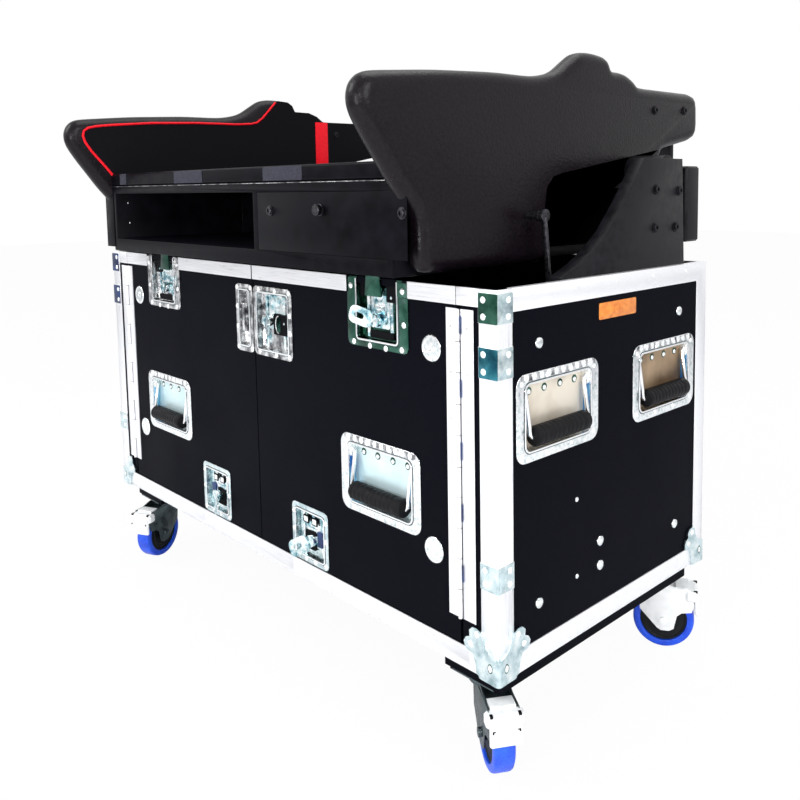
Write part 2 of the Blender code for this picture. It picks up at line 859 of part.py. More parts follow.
# Doors
def knuckle(index):
    pitch = (hinge_top - hinge_bottom) / hinge_knuckles
    low = hinge_bottom + index * pitch
    return low + gap / 2, low + pitch - gap / 2


def knuckle_with_tongue(index, toward):
    span = knuckle(index)
    barrel = disc("Z", (hinge_centre, -hinge_front), knuckle_radius, span, 8)
    reach = hinge_centre + toward * (leaf_clearance + lap)
    tongue = block(
        (min(hinge_centre, reach), max(hinge_centre, reach)),
        (panel_face - gap - leaf_thickness + step_in, panel_face - gap - step_in),
        (span[0] + step_in, span[1] - step_in),
    )
    return join(barrel, tongue)


def make_hinges(black, metal):
    front = panel_face - gap - leaf_thickness
    leaf = block(
        (hinge_centre - leaf_clearance - door_leaf_width, hinge_centre - leaf_clearance),
        (front, panel_face - gap), (hinge_bottom, hinge_top),
    )
    bore = disc("Z", (hinge_centre, -hinge_front), hinge_pin_radius + gap, (0, 1), 8)
    for index in range(1, hinge_knuckles, 2):
        join(leaf, knuckle_with_tongue(index, -1))
    finish_pair("hinge_leaf", cut(leaf, bore), metal)
    jamb = block(
        (hinge_centre + knuckle_radius / 2, side_inner - gap), (panel_face, panel_back),
        (base_top + gap, case_height - gap),
    )
    fixed = block(
        (hinge_centre + leaf_clearance, hinge_centre + leaf_clearance + jamb_leaf_width),
        (front, panel_face + lap / 2), (hinge_bottom, hinge_top),
    )
    pin = disc("Z", (hinge_centre, -hinge_front), hinge_pin_radius, (hinge_bottom + gap, hinge_top - gap), 8)
    for index in range(0, hinge_knuckles, 2):
        join(fixed, knuckle_with_tongue(index, 1))
    join(jamb, fixed, pin)
    finish_pair("door_jamb", jamb, black)


def make_doors(wood):
    outer = hinge_centre - leaf_clearance + 2 * step_in
    panel = block((door_seam, outer), (panel_face, panel_back), (door_bottom, case_height - panel_face))
    strip = block(
        (door_seam, outer), (-door_strip_stand, panel_face + lap),
        (case_height - door_strip_height, case_height),
    )
    half = top_latch_width / 2 + gap
    notch = block(
        (top_latch_centre - half, top_latch_centre + half), (-1, panel_face), (top_latch_bottom - 1, 1)
    )
    join(panel, cut(strip, notch))
    hook_half = top_hook_width / 2 + gap
    hook_room = block(
        (top_latch_centre - hook_half, top_latch_centre + hook_half), (-1, top_hook_back + gap),
        (case_height - latch_margin - gap, 1),
    )
    cut(panel, hook_room)
    cup_centre = (top_latch_centre, top_latch_centre_z())
    cut(panel, latch_hole(cup_centre, top_latch_width, top_latch_height()))
    z, height = bottom_latch_place()
    cut(panel, latch_hole((bottom_latch_centre, z), bottom_latch_width, height))
    hole = handle_hole()
    hole.data.transform(Matrix.Translation((door_handle_centre, 0, door_handle_height)))
    cut(panel, hole)
    for z in disc_heights:
        join(panel, disc("Y", (disc_centre, z), disc_radius, (panel_face - disc_stand, panel_face + lap), 24))
    left = mirrored(panel)
    centre, width, height = centre_latch_place()
    cut(panel, latch_hole(centre, width, height))
    keeper_width = centre_latch_left - door_seam - gap
    middle = (-(centre_latch_left + door_seam + gap) / 2, centre[1])
    cut(left, latch_hole(middle, keeper_width, height))
    finish("door_right", panel, wood, (hinge_centre, -hinge_front, 0))
    finish("door_left", left, wood, (-hinge_centre, -hinge_front, 0))


# Cradle
def make_cheeks(leather):
    outline = [(y, case_height + rise) for y, rise in cheek_profile]
    cheek = sheet(outline, "X", (cheek_inner, cheek_outer))
    bore = disc("X", (pivot_y, pivot_z), pivot_pin_radius + gap, (cheek_outer - pivot_pin_depth, 1), 24)
    y, z = strut_head
    stud_end = strut_side - max(strut_eye_width / 2, strut_rod_radius) - strut_head_clearance
    stud = disc("X", (y, z), strut_stud_radius + strut_stud_rim, (cheek_outer - 2 * lap, stud_end), 16)
    cut(join(cheek, stud), bore)
    finish_pair("cheek", cheek, leather, (0, pivot_y, pivot_z))


def bracket_inner():
    return side_inner - gap - bracket_thickness


def make_brackets(metal):
    outer = side_inner - gap
    inner = bracket_inner()
    outline = [
        *((y, case_height + rise) for y, rise in bracket_head),
        (bracket_back, bracket_foot),
        (bracket_front, bracket_foot),
        *((y, case_height + rise) for y, rise in bracket_brace),
    ]
    plate = sheet(outline, "X", (inner, outer))
    low, high = (case_height + rise for rise in bracket_block_rise)
    lug = block((inner, outer), bracket_block_y, (low, high), bracket_block_round, 1)
    low, high = (case_height + rise for rise in bracket_web_rise)
    web = block((inner, inner + bracket_web_thickness), bracket_web_y, (low, high))
    pin_start = cheek_outer - pivot_pin_depth + gap
    pin = disc("X", (pivot_y, pivot_z), pivot_pin_radius, (pin_start, cheek_outer + lap), 24)
    boss = disc("X", (pivot_y, pivot_z), pivot_boss_radius, (cheek_outer + gap, inner + lap), 24)
    finish_pair("bracket", join(plate, lug, web, boss, pin), metal)


def tray_underside():
    low = tray_bottom + well_lift
    arm = case_height + arm_tray_rise
    lip = case_height + arm_tray_lip
    inside = tray_back - tray_board
    return (
        (tray_notch, low), (well_back, low), (well_knee[0], case_height + well_knee[1]),
        (arm_tray_front, arm), (tray_back, arm), (tray_back, lip), (inside, lip), (inside, arm + tray_board),
        (arm_tray_front_inside, arm + tray_board), (well_knee_inside[0], case_height + well_knee_inside[1]),
        (well_back_inside, low + tray_board), (tray_notch, low + tray_board),
    )


def make_tray(board_material):
    front = -tray_front
    back = tray_notch + tray_board
    across = (-tray_half, tray_half)
    walls = (floor_top - lap, deck_bottom + lap)
    half = tray_board / 2
    floor = block(across, (front, back), (tray_bottom, floor_top))
    deck = block(across, (front, deck_back), (deck_bottom, deck_top))
    divider = block((tray_divider - half, tray_divider + half), (front, back), walls)
    rear = block(across, (tray_notch, back), walls)
    join(floor, deck, divider, rear)
    for near, far in ((-tray_half, tray_board - tray_half), (tray_half - tray_board, tray_half)):
        join(floor, block((near, far), (front, back), walls))
    underside = sheet(tray_underside(), "X", across)
    top = [(y, case_height + rise) for y, rise in riser_top]
    riser = sheet(((deck_back - tray_board, deck_bottom), (deck_back, deck_bottom), *top), "X", across)
    join(floor, underside, riser)
    finish("cradle_tray", floor, board_material, (0, pivot_y, pivot_z))


def make_front_rail(board_material):
    rail = block(
        (-tray_half, tray_half), (-tray_front, rail_depth - tray_front),
        (deck_top + gap, deck_top + gap + rail_height),
        rail_round, 1,
    )
    finish("front_rail", rail, board_material, (0, pivot_y, pivot_z))


def make_compartment_panel(board_material):
    front = compartment_panel_set_back - tray_front
    panel = block(
        (tray_divider + tray_board / 2 + gap, tray_half - tray_board - gap),
        (front, front + compartment_panel_thickness), (floor_top + gap, deck_bottom - gap),
    )
    centre = (knob_place, case_height + knob_rise)
    knob = disc("Y", centre, knob_radius, (front - knob_stand, front + lap), 20)
    finish("compartment_panel", join(panel, knob), board_material, (0, pivot_y, pivot_z))


# Gas struts
def strut_place():
    foot = Vector(strut_foot)
    head = Vector(strut_head)
    lean = math.atan2(head.y - foot.y, head.x - foot.x) - math.pi / 2
    length = (head - foot).length
    return Matrix.Translation((strut_side, foot.x, foot.y)) @ Matrix.Rotation(lean, 4, "X"), length


def make_struts(metal, chrome):
    place, length = strut_place()
    half = strut_eye_width / 2
    eye_top = strut_eye_radius + strut_eye_room
    body = disc("Z", (0, 0), strut_cylinder_radius, (strut_eye_radius - 2 * lap, strut_cylinder_length), 20)
    eye = disc("X", (0, 0), strut_eye_radius, (-half, half), 20)
    bore = disc("Z", (0, 0), strut_rod_radius + gap, (strut_rod_start - strut_bore_room, 1), 16)
    hole = disc("X", (0, 0), strut_stud_radius + gap, (-1, 1), 16)
    cylinder = cut(join(body, eye), bore, hole)
    cut(cylinder, block((-1, -half), (-1, 1), (-1, eye_top)), block((half, 1), (-1, 1), (-1, eye_top)))
    rod = disc("Z", (0, 0), strut_rod_radius, (strut_rod_start, length - 2 * lap), 16)
    end = disc("X", (0, length), strut_eye_radius, (-half, half), 20)
    join(rod, end)
    cylinder.data.transform(place)
    rod.data.transform(place)
    foot = (strut_side, *strut_foot)
    finish_pair("strut_cylinder", cylinder, metal, foot, True)
    finish_pair("strut_rod", rod, chrome, foot, True)


def main():
    clear_scene()
    aluminium = material("aluminium", (0.86, 0.86, 0.88), 0.35, 1.0)
    zinc = material("zinc", (0.75, 0.78, 0.82), 0.25, 1.0)
    chrome = material("chrome", (0.9, 0.9, 0.92), 0.1, 1.0)
    panel_black = material("panel_black", (0.02, 0.021, 0.024), 0.45)
    leather = material("leather_black", (0.012, 0.012, 0.013), 0.5)
    rubber = material("rubber_black", (0.015, 0.015, 0.016), 0.7)
    tyre = material("tyre_blue", (0.02, 0.08, 0.8), 0.35)
    fork_metal = material("fork_metal", (0.10, 0.12, 0.13), 0.3, 1.0)
    pedal = material("pedal_white", (0.88, 0.9, 0.9), 0.4)
    make_base(panel_black)
    make_bottom_frame(aluminium)
    make_upper_frame(aluminium)
    make_front_posts(aluminium)
    make_side_panels(panel_black)
    make_back_panel(panel_black)
    make_handles(zinc, rubber)
    make_hinges(panel_black, aluminium)
    make_doors(panel_black)
    make_top_latches(zinc)
    make_bottom_latches(zinc)
    make_centre_latch(zinc)
    make_castors(fork_metal, tyre, pedal)
    make_cheeks(leather)
    make_brackets(zinc)
    make_tray(panel_black)
    make_front_rail(panel_black)
    make_compartment_panel(panel_black)
    make_struts(fork_metal, chrome)


main()
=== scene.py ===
import math

import bpy
from mathutils import Matrix, Vector


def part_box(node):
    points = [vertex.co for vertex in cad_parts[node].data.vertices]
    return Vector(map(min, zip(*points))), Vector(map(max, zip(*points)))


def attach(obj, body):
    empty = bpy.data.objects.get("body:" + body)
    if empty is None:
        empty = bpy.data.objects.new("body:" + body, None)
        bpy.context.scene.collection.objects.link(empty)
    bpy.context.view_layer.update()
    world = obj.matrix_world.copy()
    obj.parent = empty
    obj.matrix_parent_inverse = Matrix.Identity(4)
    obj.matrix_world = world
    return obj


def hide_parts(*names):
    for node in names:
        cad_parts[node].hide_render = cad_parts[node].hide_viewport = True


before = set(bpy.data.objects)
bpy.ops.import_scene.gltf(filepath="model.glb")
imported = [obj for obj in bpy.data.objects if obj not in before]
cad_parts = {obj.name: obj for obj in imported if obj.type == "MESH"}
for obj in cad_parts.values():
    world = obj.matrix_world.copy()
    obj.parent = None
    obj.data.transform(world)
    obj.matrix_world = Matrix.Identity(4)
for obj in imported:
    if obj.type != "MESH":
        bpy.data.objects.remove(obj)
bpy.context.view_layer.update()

# Wheeled flight case with a padded cradle for a mixing desk, dressed over its fixed frame.
# Places are written from the middle of the case's front bottom edge: x right, y back, z up.
frameLow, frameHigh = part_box("bottom_frame")
ballStand = 0.003  # the ball corners stand out from the rails by this
origin = Vector((0, frameLow.y + ballStand, frameLow.z + ballStand))
halfWidth = frameHigh.x - ballStand  # of the case
caseDepth = frameHigh.y - frameLow.y - 2 * ballStand
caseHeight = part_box("upper_frame")[1].z - origin.z
panelFace = 0.0023  # the panels lie this far behind the rails' faces
flange = 0.0355  # width of a rail's leaf
inFront = -1  # where a cutter starts that goes in from the front
steep = 40  # degrees: only edges sharper than this are broken on dishes and frames
toFront, toBack, toSide, toMiddle, toFloor = (0, -1, 0), (0, 1, 0), (1, 0, 0), (-1, 0, 0), (0, 0, -1)


def at(x, y, z):
    return origin + Vector((x, y, z))


# Working tools
def only(*pieces):
    if bpy.context.mode != "OBJECT":
        bpy.ops.object.mode_set(mode="OBJECT")
    bpy.ops.object.select_all(action="DESELECT")
    for piece in pieces:
        piece.select_set(True)
    bpy.context.view_layer.objects.active = pieces[0]


def openFaces(piece, wanted=None):
    only(piece)
    bpy.ops.object.mode_set(mode="EDIT")
    bpy.ops.mesh.select_mode(type="FACE")
    if wanted is None:
        bpy.ops.mesh.select_all(action="SELECT")
        return
    bpy.ops.mesh.select_all(action="DESELECT")
    bpy.ops.object.mode_set(mode="OBJECT")
    for face in piece.data.polygons:
        face.select = wanted(face.normal)
    bpy.ops.object.mode_set(mode="EDIT")


def openEdges(piece, wanted):
    only(piece)
    bpy.ops.object.mode_set(mode="EDIT")
    bpy.ops.mesh.select_mode(type="EDGE")
    bpy.ops.mesh.select_all(action="DESELECT")
    bpy.ops.object.mode_set(mode="OBJECT")
    points = piece.data.vertices
    for edge in piece.data.edges:
        a, b = (points[i].co for i in edge.vertices)
        edge.select = wanted(a, b)
    bpy.ops.object.mode_set(mode="EDIT")


def closeEdit():
    bpy.ops.object.mode_set(mode="OBJECT")


def closeOutward():
    bpy.ops.mesh.select_all(action="SELECT")
    bpy.ops.mesh.normals_make_consistent(inside=False)
    closeEdit()


def frontFaces(normal):
    return normal.y < -0.9


def along(axis):
    return lambda a, b: abs((b - a).normalized()[axis]) > 0.99


def box(low, high):
    low, high = Vector(low), Vector(high)
    bpy.ops.object.select_all(action="DESELECT")
    bpy.ops.mesh.primitive_cube_add(size=1, location=(low + high) / 2, scale=high - low)
    bpy.ops.object.transform_apply(location=True, rotation=True, scale=True)
    return bpy.context.object


def roundBox(low, high, axis, radius, segments=4):
    piece = box(low, high)
    openEdges(piece, along(axis))
    bpy.ops.mesh.bevel(offset=radius, segments=segments, affect="EDGES")
    closeEdit()
    return piece


def cutSheet(points, thickness):
    # a flat outline given its thickness
    mesh = bpy.data.meshes.new("sheet")
    mesh.from_pydata(points, [], [tuple(range(len(points)))])
    piece = bpy.data.objects.new("sheet", mesh)
    bpy.context.scene.collection.objects.link(piece)
    openFaces(piece)
    bpy.ops.mesh.extrude_region_move(TRANSFORM_OT_translate={"value": thickness})
    closeOutward()
    return piece


def lathe(steps, sides=24):
    # steps are (radius, height) up the Z axis, from the bottom cap to the top cap
    bpy.ops.object.select_all(action="DESELECT")
    bpy.ops.mesh.primitive_circle_add(
        vertices=sides, radius=steps[0][0], fill_type="NGON", location=(0, 0, steps[0][1])
    )
    bpy.ops.object.transform_apply(location=True, rotation=True, scale=True)
    piece = bpy.context.object
    openFaces(piece)
    for (radius, height), (wider, higher) in zip(steps, steps[1:]):
        bpy.ops.mesh.extrude_region_move(TRANSFORM_OT_translate={"value": (0, 0, higher - height)})
        bpy.ops.transform.resize(
            value=(wider / radius, wider / radius, 1), center_override=(0, 0, higher)
        )
    closeOutward()
    return piece


def tube(points, radius, resolution=3):
    line = bpy.data.curves.new("line", "CURVE")
    line.dimensions = "3D"
    line.bevel_depth = radius
    line.bevel_resolution = resolution
    line.use_fill_caps = True
    spline = line.splines.new("POLY")
    spline.points.add(len(points) - 1)
    for point, place in zip(spline.points, points):
        point.co = (*place, 1)
    piece = bpy.data.objects.new("line", line)
    bpy.context.scene.collection.objects.link(piece)
    only(piece)
    bpy.ops.object.convert(target="MESH")
    return bpy.context.object


def modify(piece, kind, **settings):
    only(piece)
    modifier = piece.modifiers.new("work", kind)
    for name, value in settings.items():
        setattr(modifier, name, value)
    bpy.ops.object.modifier_apply(modifier=modifier.name)
    return piece


def carve(piece, *tools, operation="DIFFERENCE"):
    for cutter in tools:
        modify(piece, "BOOLEAN", operation=operation, solver="EXACT", object=cutter)
        bpy.data.objects.remove(cutter, do_unlink=True)
    return piece


def soften(piece, width, segments=2, angle=35):
    limit = math.radians(angle)
    return modify(piece, "BEVEL", width=width, segments=segments, limit_method="ANGLE", angle_limit=limit)


def ring(centre, half, corner, inside, outside, front, back):
    # a flat frame round an opening, seen from the front
    x, z = centre
    wide, high = half[0] + outside, half[1] + outside
    outer = roundBox((x - wide, front, z - high), (x + wide, back, z + high), 1, corner + outside, 5)
    wide, high = half[0] + inside, half[1] + inside
    low, far = (x - wide, front - 0.01, z - high), (x + wide, back + 0.01, z + high)
    return carve(outer, roundBox(low, far, 1, corner + inside, 5))


def placed(piece, matrix):
    new = bpy.data.objects.new(piece.name, piece.data.copy())
    bpy.context.scene.collection.objects.link(new)
    new.data.transform(matrix)
    if matrix.determinant() < 0:
        new.data.flip_normals()
    return new


def moved(piece):
    piece.data.transform(Matrix.Translation(origin))
    return piece


def joined(*pieces):
    only(*pieces)
    if len(pieces) > 1:
        bpy.ops.object.join()
    return bpy.context.object


def facing(direction):
    return Vector(direction).to_track_quat("Z", "Y").to_matrix().to_4x4()


def onFront(y, spots):
    return [(Vector((x, y, z)), toFront) for x, z in spots]


def onSide(x, spots, way=toSide):
    return [(Vector((x, y, z)), way) for y, z in spots]


def stamped(template, places):
    # copies of a small part modelled up the Z axis, joined into one object
    copies = [placed(template, Matrix.Translation(p) @ facing(n)) for p, n in places]
    return joined(*copies)


def discard(*pieces):
    for piece in pieces:
        bpy.data.objects.remove(piece, do_unlink=True)


def finish(piece, name, body, surface, slot, *nodes, smooth=32):
    piece.name = name
    piece.data.name = name
    piece.data.materials.clear()
    piece.data.materials.append(surface)
    only(piece)
    bpy.ops.object.shade_smooth_by_angle(angle=math.radians(smooth))
    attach(piece, body)
    if nodes:
        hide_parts(*nodes)
    return piece


def finishMoved(piece, name, body, surface, slot, *nodes):
    return finish(moved(piece), name, body, surface, slot, *nodes)


def mirrorPair(piece, name, body, surface, slot, *nodes, smooth=32):
    # the right piece is in case places; its mirror image is the left one
    shift = Matrix.Translation(origin)
    other = placed(piece, shift @ Matrix.Scale(-1, 4, (1, 0, 0)))
    mine = placed(piece, shift)
    discard(piece)
    for made, side in ((mine, "right"), (other, "left")):
        look = surface[side] if isinstance(surface, dict) else surface
        stands = [node.format(side) for node in nodes]
        finish(made, f"{name}_{side}", body.format(side), look, slot, *stands, smooth=smooth)


def dress(node, name, body, surface, slot, edge, segments=2):
    # a merged copy of a frame node with its edges broken
    piece = bpy.data.objects.new(name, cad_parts[node].data.copy())
    bpy.context.scene.collection.objects.link(piece)
    openFaces(piece)
    bpy.ops.mesh.remove_doubles(threshold=0.00002)
    bpy.ops.mesh.dissolve_limited(angle_limit=math.radians(1))
    closeEdit()
    soften(piece, edge, segments)
    return finish(piece, name, body, surface, slot, node)


# Materials
evenly = (1, 1, 1)
roughBand = (0.3, 0.7)  # the part of a pattern that is spread over the roughness range


def noise(scale, detail=3.0, stretch=evenly):
    return "Noise", scale, detail, stretch


def cells(scale):
    return "Voronoi", scale, None, evenly


def pattern(made, kind, scale, detail, stretch):
    tree = made.node_tree
    place = tree.nodes.new("ShaderNodeTexCoord")
    mapping = tree.nodes.new("ShaderNodeMapping")
    mapping.inputs["Scale"].default_value = stretch
    tree.links.new(place.outputs["Object"], mapping.inputs["Vector"])
    texture = tree.nodes.new("ShaderNodeTex" + kind)
    texture.inputs["Scale"].default_value = scale
    if kind == "Noise":
        texture.inputs["Detail"].default_value = detail
    tree.links.new(mapping.outputs["Vector"], texture.inputs["Vector"])
    return texture.outputs["Distance" if kind == "Voronoi" else "Fac"]


def colours(made, value, stops):
    tree = made.node_tree
    ramp = tree.nodes.new("ShaderNodeValToRGB")
    while len(ramp.color_ramp.elements) < len(stops):
        ramp.color_ramp.elements.new(0.5)
    for element, (position, colour) in zip(ramp.color_ramp.elements, stops):
        element.position = position
        element.color = (*colour, 1)
    tree.links.new(value, ramp.inputs["Fac"])
    tree.links.new(ramp.outputs["Color"], tree.nodes["Principled BSDF"].inputs["Base Color"])


def roughen(made, value, low, high):
    tree = made.node_tree
    spread = tree.nodes.new("ShaderNodeMapRange")
    spread.inputs["From Min"].default_value = roughBand[0]
    spread.inputs["From Max"].default_value = roughBand[1]
    spread.inputs["To Min"].default_value = low
    spread.inputs["To Max"].default_value = high
    tree.links.new(value, spread.inputs["Value"])
    tree.links.new(spread.outputs["Result"], tree.nodes["Principled BSDF"].inputs["Roughness"])


def emboss(made, value, strength, distance):
    tree = made.node_tree
    shader = tree.nodes["Principled BSDF"]
    bump = tree.nodes.new("ShaderNodeBump")
    bump.inputs["Strength"].default_value = strength
    bump.inputs["Distance"].default_value = distance
    tree.links.new(value, bump.inputs["Height"])
    if shader.inputs["Normal"].links:
        tree.links.new(shader.inputs["Normal"].links[0].from_socket, bump.inputs["Normal"])
    tree.links.new(bump.outputs["Normal"], shader.inputs["Normal"])


def newMaterial(
    name, colour, roughness, metallic=0.0, specular=0.5, *, gloss, tone=None, stops=(), relief=()
):
    # stops colour the tone's pattern; gloss is (pattern, low, high) roughness; each relief is
    # (pattern, strength, depth); None in a pattern's place is the tone's own pattern
    made = bpy.data.materials.new(name)
    made.use_nodes = True
    shader = made.node_tree.nodes["Principled BSDF"]
    shader.inputs["Base Color"].default_value = (*colour, 1)
    shader.inputs["Roughness"].default_value = roughness
    shader.inputs["Metallic"].default_value = metallic
    shader.inputs["Specular IOR Level"].default_value = specular
    own = pattern(made, *tone) if tone else None
    if stops:
        colours(made, own, stops)
    kind, low, high = gloss
    roughen(made, pattern(made, *kind) if kind else own, low, high)
    for kind, strength, depth in relief:
        emboss(made, pattern(made, *kind) if kind else own, strength, depth)
    return made


def drawnAluminium(name, stretch):
    return newMaterial(
        name, (0.90, 0.90, 0.92), 0.32, 0.75, tone=noise(60, 4.0, stretch),
        stops=((0.25, (0.82, 0.83, 0.87)), (0.55, (0.93, 0.93, 0.95)), (0.8, (0.98, 0.98, 0.99))),
        gloss=(None, 0.26, 0.42), relief=((None, 0.10, 0.0004),),
    )


def clouded(name, scale, places, *tints):
    # passivated zinc with painted reflections: tints from dark to pale at their places in the noise
    return newMaterial(
        name, tints[1], 0.22, 1.0, tone=noise(scale, 4.0), stops=tuple(zip(places, tints)),
        gloss=(noise(120), 0.14, 0.32), relief=((noise(260, 2.0), 0.18, 0.0006),),
    )


def recessWall(name, low, high, scale=9):
    # what the polished walls of a handle's recess mirror
    return newMaterial(
        name, high, 0.34, 0.35, tone=noise(scale), stops=((0.36, low), (0.60, high)),
        gloss=(None, 0.28, 0.44), relief=((noise(300), 0.08, 0.0003),),
    )


laminate = newMaterial(
    "blackLaminate", (0.003, 0.003, 0.005), 0.45, specular=0.015, tone=noise(900, 1.0),
    stops=((0.0, (0.0022, 0.0024, 0.0045)), (0.62, (0.0035, 0.0038, 0.0065)), (0.80, (0.012, 0.013, 0.020))),
    gloss=(noise(6), 0.36, 0.50), relief=((cells(700), 0.25, 0.0003),),
)
aluminiumUp = drawnAluminium("drawnAluminiumUp", (12, 12, 0.3))
aluminiumAcross = drawnAluminium("drawnAluminiumAcross", (0.3, 12, 12))
palePlaces, darkPlaces = (0.30, 0.44, 0.56, 0.75), (0.30, 0.46, 0.60, 0.78)
zinc = clouded("paleZinc", 150, palePlaces,
               (0.52, 0.60, 0.61), (0.80, 0.85, 0.86), (0.93, 0.94, 0.95), (0.97, 0.97, 0.98))
zincGreen = clouded("greenZinc", 22, darkPlaces,
                    (0.010, 0.035, 0.026), (0.024, 0.085, 0.058), (0.05, 0.14, 0.105), (0.20, 0.30, 0.27))
zincBlue = clouded("blueZinc", 26, darkPlaces,
                   (0.010, 0.060, 0.100), (0.022, 0.125, 0.170), (0.050, 0.220, 0.280), (0.300, 0.540, 0.620))
zincTeal = clouded("tealZinc", 60, palePlaces,
                   (0.330, 0.450, 0.480), (0.540, 0.670, 0.700), (0.680, 0.790, 0.810), (0.900, 0.940, 0.950))
# grey zinc whose dark-to-white clouds are painted reflection
zincGreyReflections = clouded("greyReflectingZinc", 60, (0.30, 0.44, 0.56, 0.72),
                   (0.060, 0.062, 0.075), (0.300, 0.300, 0.310), (0.640, 0.650, 0.660), (0.960, 0.965, 0.970))
zincMixed = clouded("mixedZinc", 70, (0.30, 0.42, 0.52, 0.68),
                    (0.03, 0.13, 0.19), (0.36, 0.58, 0.64), (0.82, 0.90, 0.91), (0.96, 0.97, 0.98))
blueWall = recessWall("blueWall", (0.010, 0.120, 0.420), (0.250, 0.640, 0.900), 16)
tealWall = recessWall("tealWall", (0.620, 0.800, 0.830), (0.800, 0.900, 0.910))
beigeWall = recessWall("beigeWall", (0.560, 0.470, 0.360), (0.800, 0.730, 0.620))
brownWall = recessWall("brownWall", (0.120, 0.070, 0.035), (0.400, 0.280, 0.170))
navyWall = recessWall("navyWall", (0.004, 0.012, 0.060), (0.015, 0.045, 0.160), 30)
rivetWhite = newMaterial("brightRivet", (0.92, 0.94, 0.94), 0.28, 0.45, gloss=(noise(300), 0.20, 0.36))
chrome = newMaterial("polishedChrome", (0.92, 0.93, 0.94), 0.08, 1.0, gloss=(noise(200), 0.05, 0.14))
rubber = newMaterial(
    "blackRubber", (0.004, 0.004, 0.005), 0.50, specular=0.14,
    gloss=(noise(90), 0.45, 0.65), relief=((noise(700), 0.3, 0.0003),),
)
tyreBlue = newMaterial(
    "blueTyre", (0.010, 0.085, 0.78), 0.30, tone=noise(40),
    stops=((0.3, (0.006, 0.055, 0.62)), (0.7, (0.015, 0.115, 0.88))),
    gloss=(noise(300), 0.24, 0.40), relief=((noise(500), 0.15, 0.0004),),
)
hubBlack = newMaterial(
    "blackHub", (0.005, 0.006, 0.007), 0.42, specular=0.22,
    gloss=(noise(150), 0.35, 0.55), relief=((noise(600), 0.2, 0.0003),),
)
forkDark = newMaterial(
    "darkFork", (0.075, 0.100, 0.110), 0.30, 0.85, tone=noise(45),
    stops=((0.3, (0.045, 0.062, 0.068)), (0.7, (0.12, 0.155, 0.165))),
    gloss=(None, 0.22, 0.40), relief=((noise(350), 0.15, 0.0004),),
)
pedalWhite = newMaterial(
    "whitePedal", (0.93, 0.94, 0.94), 0.35, tone=noise(55),
    stops=((0.25, (0.80, 0.82, 0.82)), (0.5, (0.93, 0.94, 0.94)), (0.8, (0.96, 0.97, 0.97))),
    gloss=(None, 0.28, 0.45), relief=((noise(400), 0.12, 0.0004),),
)
leather = newMaterial(
    "grainLeather", (0.007, 0.005, 0.007), 0.32, specular=0.17, tone=cells(190),
    stops=((0.0, (0.009, 0.006, 0.009)), (0.5, (0.006, 0.004, 0.006)), (1.0, (0.003, 0.002, 0.003))),
    gloss=(noise(30), 0.26, 0.36), relief=((None, 0.35, 0.0007), (noise(900, 2.0), 0.25, 0.0004)),
)
boardBlack = newMaterial(
    "satinBoard", (0.003, 0.003, 0.004), 0.36, specular=0.05, tone=noise(25),
    stops=((0.3, (0.002, 0.002, 0.003)), (0.7, (0.005, 0.005, 0.008))),
    gloss=(None, 0.28, 0.44), relief=((noise(800), 0.18, 0.0003),),
)
bracketBlack = newMaterial(
    "satinBracket", (0.004, 0.004, 0.005), 0.36, specular=0.13, tone=noise(70),
    stops=((0.3, (0.004, 0.004, 0.005)), (0.7, (0.010, 0.010, 0.013))),
    gloss=(None, 0.30, 0.48), relief=((noise(650), 0.3, 0.0004),),
)
red = newMaterial(
    "redPiping", (0.90, 0.008, 0.02), 0.42, specular=0.2, tone=noise(240),
    stops=((0.3, (0.80, 0.003, 0.012)), (0.7, (0.95, 0.010, 0.025))),
    gloss=(None, 0.34, 0.52), relief=((cells(900), 0.3, 0.0003),),
)
foam = newMaterial(
    "greyFoam", (0.035, 0.035, 0.048), 0.7, specular=0.2, tone=noise(300),
    stops=((0.3, (0.022, 0.022, 0.032)), (0.7, (0.050, 0.050, 0.070))),
    gloss=(None, 0.7, 0.9), relief=((None, 0.4, 0.0008),),
)
amber = newMaterial(
    "amberPlate", (0.75, 0.22, 0.03), 0.35, tone=noise(120),
    stops=((0.3, (0.62, 0.16, 0.02)), (0.7, (0.85, 0.30, 0.05))), gloss=(None, 0.28, 0.42),
)
lining = newMaterial(
    "blackLining", (0.004, 0.004, 0.005), 0.6, specular=0.06, tone=noise(300),
    stops=((0.3, (0.003, 0.003, 0.004)), (0.7, (0.006, 0.006, 0.008))), gloss=(None, 0.55, 0.70),
)
# dark steel, also painted shade on the strut rods
steelAndShade = newMaterial(
    "darkSteelAndShade", (0.05, 0.05, 0.06), 0.30, 0.9, tone=noise(200),
    stops=((0.3, (0.03, 0.03, 0.035)), (0.7, (0.07, 0.07, 0.08))), gloss=(None, 0.24, 0.38),
)
print("materials made")


def repaint(surface, *nodes):
    for node in nodes:
        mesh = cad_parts[node].data
        mesh.materials.clear()
        mesh.materials.append(surface)


repaint(laminate, "base_board", "back_panel", "side_panel_right", "side_panel_left", "door_right",
        "door_left", "door_jamb_right", "door_jamb_left")
repaint(aluminiumUp, "hinge_leaf_right", "hinge_leaf_left")


# Small fasteners, modelled once up the Z axis
def rivetTemplate(radius, height, sides=12):
    return lathe((
        (radius, -0.0008), (radius, height * 0.2), (radius * 0.82, height * 0.7), (radius * 0.4, height),
    ), sides)


def boltTemplate(radius, height):
    # washer, head and socket
    return lathe((
        (radius * 1.35, -0.0005), (radius * 1.35, height * 0.25), (radius, height * 0.3),
        (radius, height * 0.8), (radius * 0.85, height), (radius * 0.5, height),
        (radius * 0.45, height * 0.5),
    ), 18)


smallRivet = rivetTemplate(0.0030, 0.0014)
rivet = rivetTemplate(0.0042, 0.0018)
bigRivet = rivetTemplate(0.0052, 0.0020, 16)
bolt = boltTemplate(0.0070, 0.0045)
print("fasteners made")

